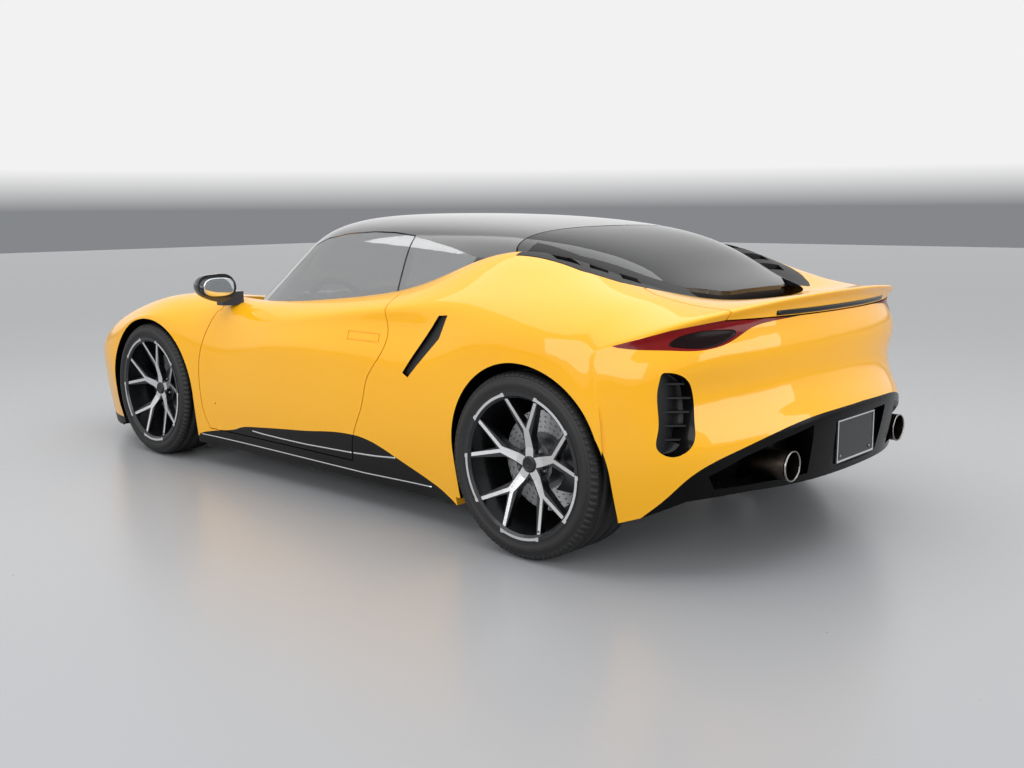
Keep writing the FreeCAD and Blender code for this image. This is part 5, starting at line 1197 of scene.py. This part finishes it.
cushion_spine = [(0.050, 0.215, 0.205, 0.050, 0.000), (0.005, 0.235, 0.225, 0.062, 0.012),
                 (-0.12, 0.222, 0.238, 0.062, 0.034), (-0.28, 0.205, 0.240, 0.060, 0.042),
                 (-0.40, 0.200, 0.225, 0.050, 0.030)]
backrest_spine = [(-0.415, 0.245, 0.215, 0.045, 0.030), (-0.452, 0.380, 0.238, 0.055, 0.060),
                  (-0.492, 0.520, 0.240, 0.058, 0.066), (-0.522, 0.660, 0.222, 0.050, 0.052),
                  (-0.538, 0.760, 0.180, 0.042, 0.026), (-0.545, 0.850, 0.140, 0.048, 0.010),
                  (-0.545, 0.965, 0.112, 0.040, 0.000)]
shell_spine = [(0.035, 0.180, 0.190, 0.030), (-0.20, 0.165, 0.225, 0.055),
               (-0.38, 0.165, 0.228, 0.060), (-0.452, 0.210, 0.228, 0.055),
               (-0.495, 0.420, 0.240, 0.050), (-0.535, 0.640, 0.225, 0.040),
               (-0.557, 0.800, 0.155, 0.020), (-0.560, 0.955, 0.105, 0.008)]


def dress_seat(side, word):
    """Cushion, backrest and shell, which stand for the plain seat of the CAD."""
    node = "seat_" + word
    cushion_mesh = seat_pad("cushion", cushion_spine, side, flutes=6, flute_span=(0.22, 0.9))
    cushion = piece("seat_cushion_" + word, cushion_mesh, seat_hide, "root")
    backrest_mesh = seat_pad("backrest", backrest_spine, side, rows=110, flutes=9,
                             flute_span=(0.08, 0.66))
    backrest = piece("seat_backrest_" + word, backrest_mesh, seat_hide, "root")
    shell = piece("seat_shell_" + word, seat_shell("shell", shell_spine, side), seat_shell_abs,
                  "root")
    for part in (cushion, backrest, shell):
        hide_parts(node)


for seat_side, seat_word in sides:
    dress_seat(seat_side, seat_word)


# Corner vents: dark ducts behind the openings at the tail's corners.
vent_outline = [(0.866, 0.588), (0.827, 0.580), (0.788, 0.548), (0.775, 0.505), (0.783, 0.455),
                (0.815, 0.380), (0.860, 0.362), (0.883, 0.375), (0.886, 0.430), (0.885, 0.517),
                (0.880, 0.570)]
vent_outline_scale = (0.9475, 1.226)
vent_rings = ((0.985, 0.045), (0.98, 0.07))
duct_back_x = -1.80
duct_back_scale = 0.97
tail_x = -1.95


def closed_curve(points, steps=6):
    """An even closed curve through given points in a plane."""
    out = []
    count = len(points)
    for i in range(count):
        near = [Vector(points[(i + k) % count]) for k in (-1, 0, 1, 2)]
        out += [cubic(*near, k / steps) for k in range(steps)]
    return out


def vent_ducts():
    """A tube from just inside each opening's edge to a closed back."""
    for side, word in sides:
        outline = closed_curve([(side * y * vent_outline_scale[0], z * vent_outline_scale[1])
                                for y, z in vent_outline])
        middle = sum(outline, Vector((0, 0))) / len(outline)
        mouth = []
        for spot in outline:
            probe = middle + (spot - middle) * 1.03
            place, _ = tail_hit(tail_skin, probe.x, probe.y)
            mouth.append(place.x if place else tail_x)
        form = bmesh.new()
        rings = []
        for scale, depth in vent_rings:
            flat = [middle + (spot - middle) * scale for spot in outline]
            rings.append(ring_of(form, [(x + depth, at.x, at.y) for at, x in zip(flat, mouth)]))
        flat = [middle + (spot - middle) * duct_back_scale for spot in outline]
        rings.append(ring_of(form, [(duct_back_x, at.x, at.y) for at in flat]))
        bridge_all(form, rings)
        form.faces.new(rings[-1])
        mesh = baked(mesh_from("vent_duct", form), "SOLIDIFY", {"thickness": 0.0015, "offset": 0.0})
        piece("vent_duct_" + word, mesh, grained_black, "root")


vent_ducts()

# The gloss bar that joins the lamps, and the dark cluster in each lamp as (y, z).
tail_bar_half, tail_bar_z, tail_bar_height = 0.415, 0.8935, 0.019
tail_bar_steps = 48
lamp_cluster = [(0.792, 0.806), (0.771, 0.797), (0.722, 0.794), (0.678, 0.799), (0.632, 0.815),
                (0.592, 0.836), (0.596, 0.850), (0.640, 0.852), (0.705, 0.849), (0.762, 0.833)]
patch_rings = (1.0, 0.96, 0.8, 0.6, 0.4, 0.2)
patch_rise = 0.0014
patch_edge_sink = 0.001


def tail_bar():
    """Lays the bar on the tail lid."""
    line = [(-tail_bar_half + 2 * tail_bar_half * k / tail_bar_steps, tail_bar_z)
            for k in range(tail_bar_steps + 1)]
    piece("tail_bar", rear_strip("tail_bar", tail_skin, line, tail_bar_height, strip_rise),
          gloss_black, "tailgate")


tail_bar()


def skin_patch(name, skin, outline):
    """A closed, slightly raised patch laid on the tail's skin inside a (y, z) outline."""
    middle = sum(outline, Vector((0, 0))) / len(outline)
    form = bmesh.new()
    loops = []
    for scale in patch_rings:
        lift = -patch_edge_sink if scale == 1.0 else patch_rise
        loop = []
        for spot in outline:
            flat = middle + (spot - middle) * scale
            place, normal = tail_hit(skin, flat.x, flat.y)
            loop.append(form.verts.new(place + normal * lift))
        loops.append(loop)
    bridge_all(form, loops)
    form.faces.new(loops[-1])
    form.faces.new(loops[0])
    return mesh_from(name, form)


def lamp_clusters():
    """The dark cluster behind each tail lamp's lens."""
    lamp_skin = skin_of("taillights")
    for side, word in sides:
        outline = closed_curve([(side * y, z) for y, z in lamp_cluster])
        piece("lamp_cluster_" + word, skin_patch("lamp_cluster", lamp_skin, outline), smoked_lens,
              "root")


lamp_clusters()


# Camera at the photograph's place and angle.
camera_place = Vector((-3.8546, 3.6754, 1.2469))
camera_yaw = -0.8273
camera_pitch = -0.1619
camera_roll = -0.0070
camera_focal_mm = 37.74
camera_sensor_mm = 36.0


def photo_camera():
    """Turns the view by yaw and pitch, then rolls it about its own line."""
    ahead = Vector((math.cos(camera_pitch) * math.cos(camera_yaw),
                    math.cos(camera_pitch) * math.sin(camera_yaw), math.sin(camera_pitch)))
    right = ahead.cross(Vector((0, 0, 1))).normalized()
    upward = right.cross(ahead)
    turned_right = math.cos(camera_roll) * right + math.sin(camera_roll) * upward
    turned_up = math.cos(camera_roll) * upward - math.sin(camera_roll) * right
    lens = bpy.data.cameras.new("photo_camera")
    lens.lens = camera_focal_mm
    lens.sensor_width = camera_sensor_mm
    lens.clip_end = 200.0
    camera = bpy.data.objects.new("photo_camera", lens)
    turn = Matrix((turned_right, turned_up, -ahead)).transposed()
    camera.matrix_world = Matrix.Translation(camera_place) @ turn.to_4x4()
    bpy.context.scene.collection.objects.link(camera)
    bpy.context.scene.camera = camera


photo_camera()


# Floor, soft lamps and the sky they hang in.
floor_reach = 30.0
lamp_target = (0, 0, 0.6)
# Name, place, width, height and watts of each lamp.
lamps = (("ceiling_softbox", (-0.3, 0.3, 4.6), 9.0, 6.0, 230.0),
         ("side_softbox", (-1.0, 6.5, 2.4), 7.0, 2.4, 150.0),
         ("tail_softbox", (-7.0, -0.5, 2.2), 5.0, 2.2, 110.0))
wall_turn = 0.035
sky_light = 0.6


def studio_floor():
    """Sealed resin floor, pale, with faint trowel marks."""
    resin = surface("sealed_pale_resin_floor", "#A6A8AB", 0.3, grain_mm=40, bump=0.01,
                    tint="#ACAEB1", cloud_mm=2500)
    mesh = bpy.data.meshes.new("studio_floor")
    half = floor_reach
    mesh.from_pydata([(-half, -half, 0), (half, -half, 0), (half, half, 0), (-half, half, 0)], [],
                     [(0, 1, 2, 3)])
    mesh.materials.append(resin)
    floor = bpy.data.objects.new("studio_floor", mesh)
    bpy.context.scene.collection.objects.link(floor)


def area_lamp(name, place, size_x, size_y, watts):
    """A soft rectangle of light that looks at the car's middle."""
    lamp = bpy.data.lights.new(name, "AREA")
    lamp.shape = "RECTANGLE"
    lamp.size = size_x
    lamp.size_y = size_y
    lamp.energy = watts
    holder = bpy.data.objects.new(name, lamp)
    aim = Vector(lamp_target) - Vector(place)
    holder.matrix_world = (Matrix.Translation(Vector(place))
                           @ aim.to_track_quat("-Z", "Y").to_matrix().to_4x4())
    bpy.context.scene.collection.objects.link(holder)


def studio_light():
    """A world that shows walls to the eye and in mirrors, and lights evenly, and the lamps."""
    world = bpy.data.worlds.new("studio")
    bpy.context.scene.world = world
    world.use_nodes = True
    tree = world.node_tree
    tree.nodes.clear()
    split = axes_of(tree, add(tree, "ShaderNodeTexCoord"), "Generated")
    # Seen walls: a mid grey lower band that turns to a pale wall above.
    walls = add(tree, "ShaderNodeValToRGB", links={"Fac": split.outputs["Z"]})
    ramp = walls.color_ramp
    ramp.elements[0].position = 0.0
    ramp.elements[0].color = linear("#85878A")
    ramp.elements[1].position = wall_turn
    ramp.elements[1].color = linear("#F2F2F2")
    seen = add(tree, "ShaderNodeBackground", {"Strength": 1.0}, {"Color": walls.outputs["Color"]})
    lit = add(tree, "ShaderNodeBackground", {"Strength": sky_light, "Color": linear("#F4F5F7")})
    ray = add(tree, "ShaderNodeLightPath")
    first = maths(tree, "MAXIMUM", ray.outputs["Is Camera Ray"], ray.outputs["Is Glossy Ray"])
    shows = maths(tree, "MAXIMUM", first, ray.outputs["Is Transmission Ray"])
    mix = add(tree, "ShaderNodeMixShader",
              links={0: shows, 1: lit.outputs[0], 2: seen.outputs[0]})
    add(tree, "ShaderNodeOutputWorld", links={"Surface": mix.outputs[0]})
    for name, place, size_x, size_y, watts in lamps:
        area_lamp(name, place, size_x, size_y, watts)


studio_floor()
studio_light()
scene = bpy.context.scene
scene.view_settings.view_transform = "Standard"
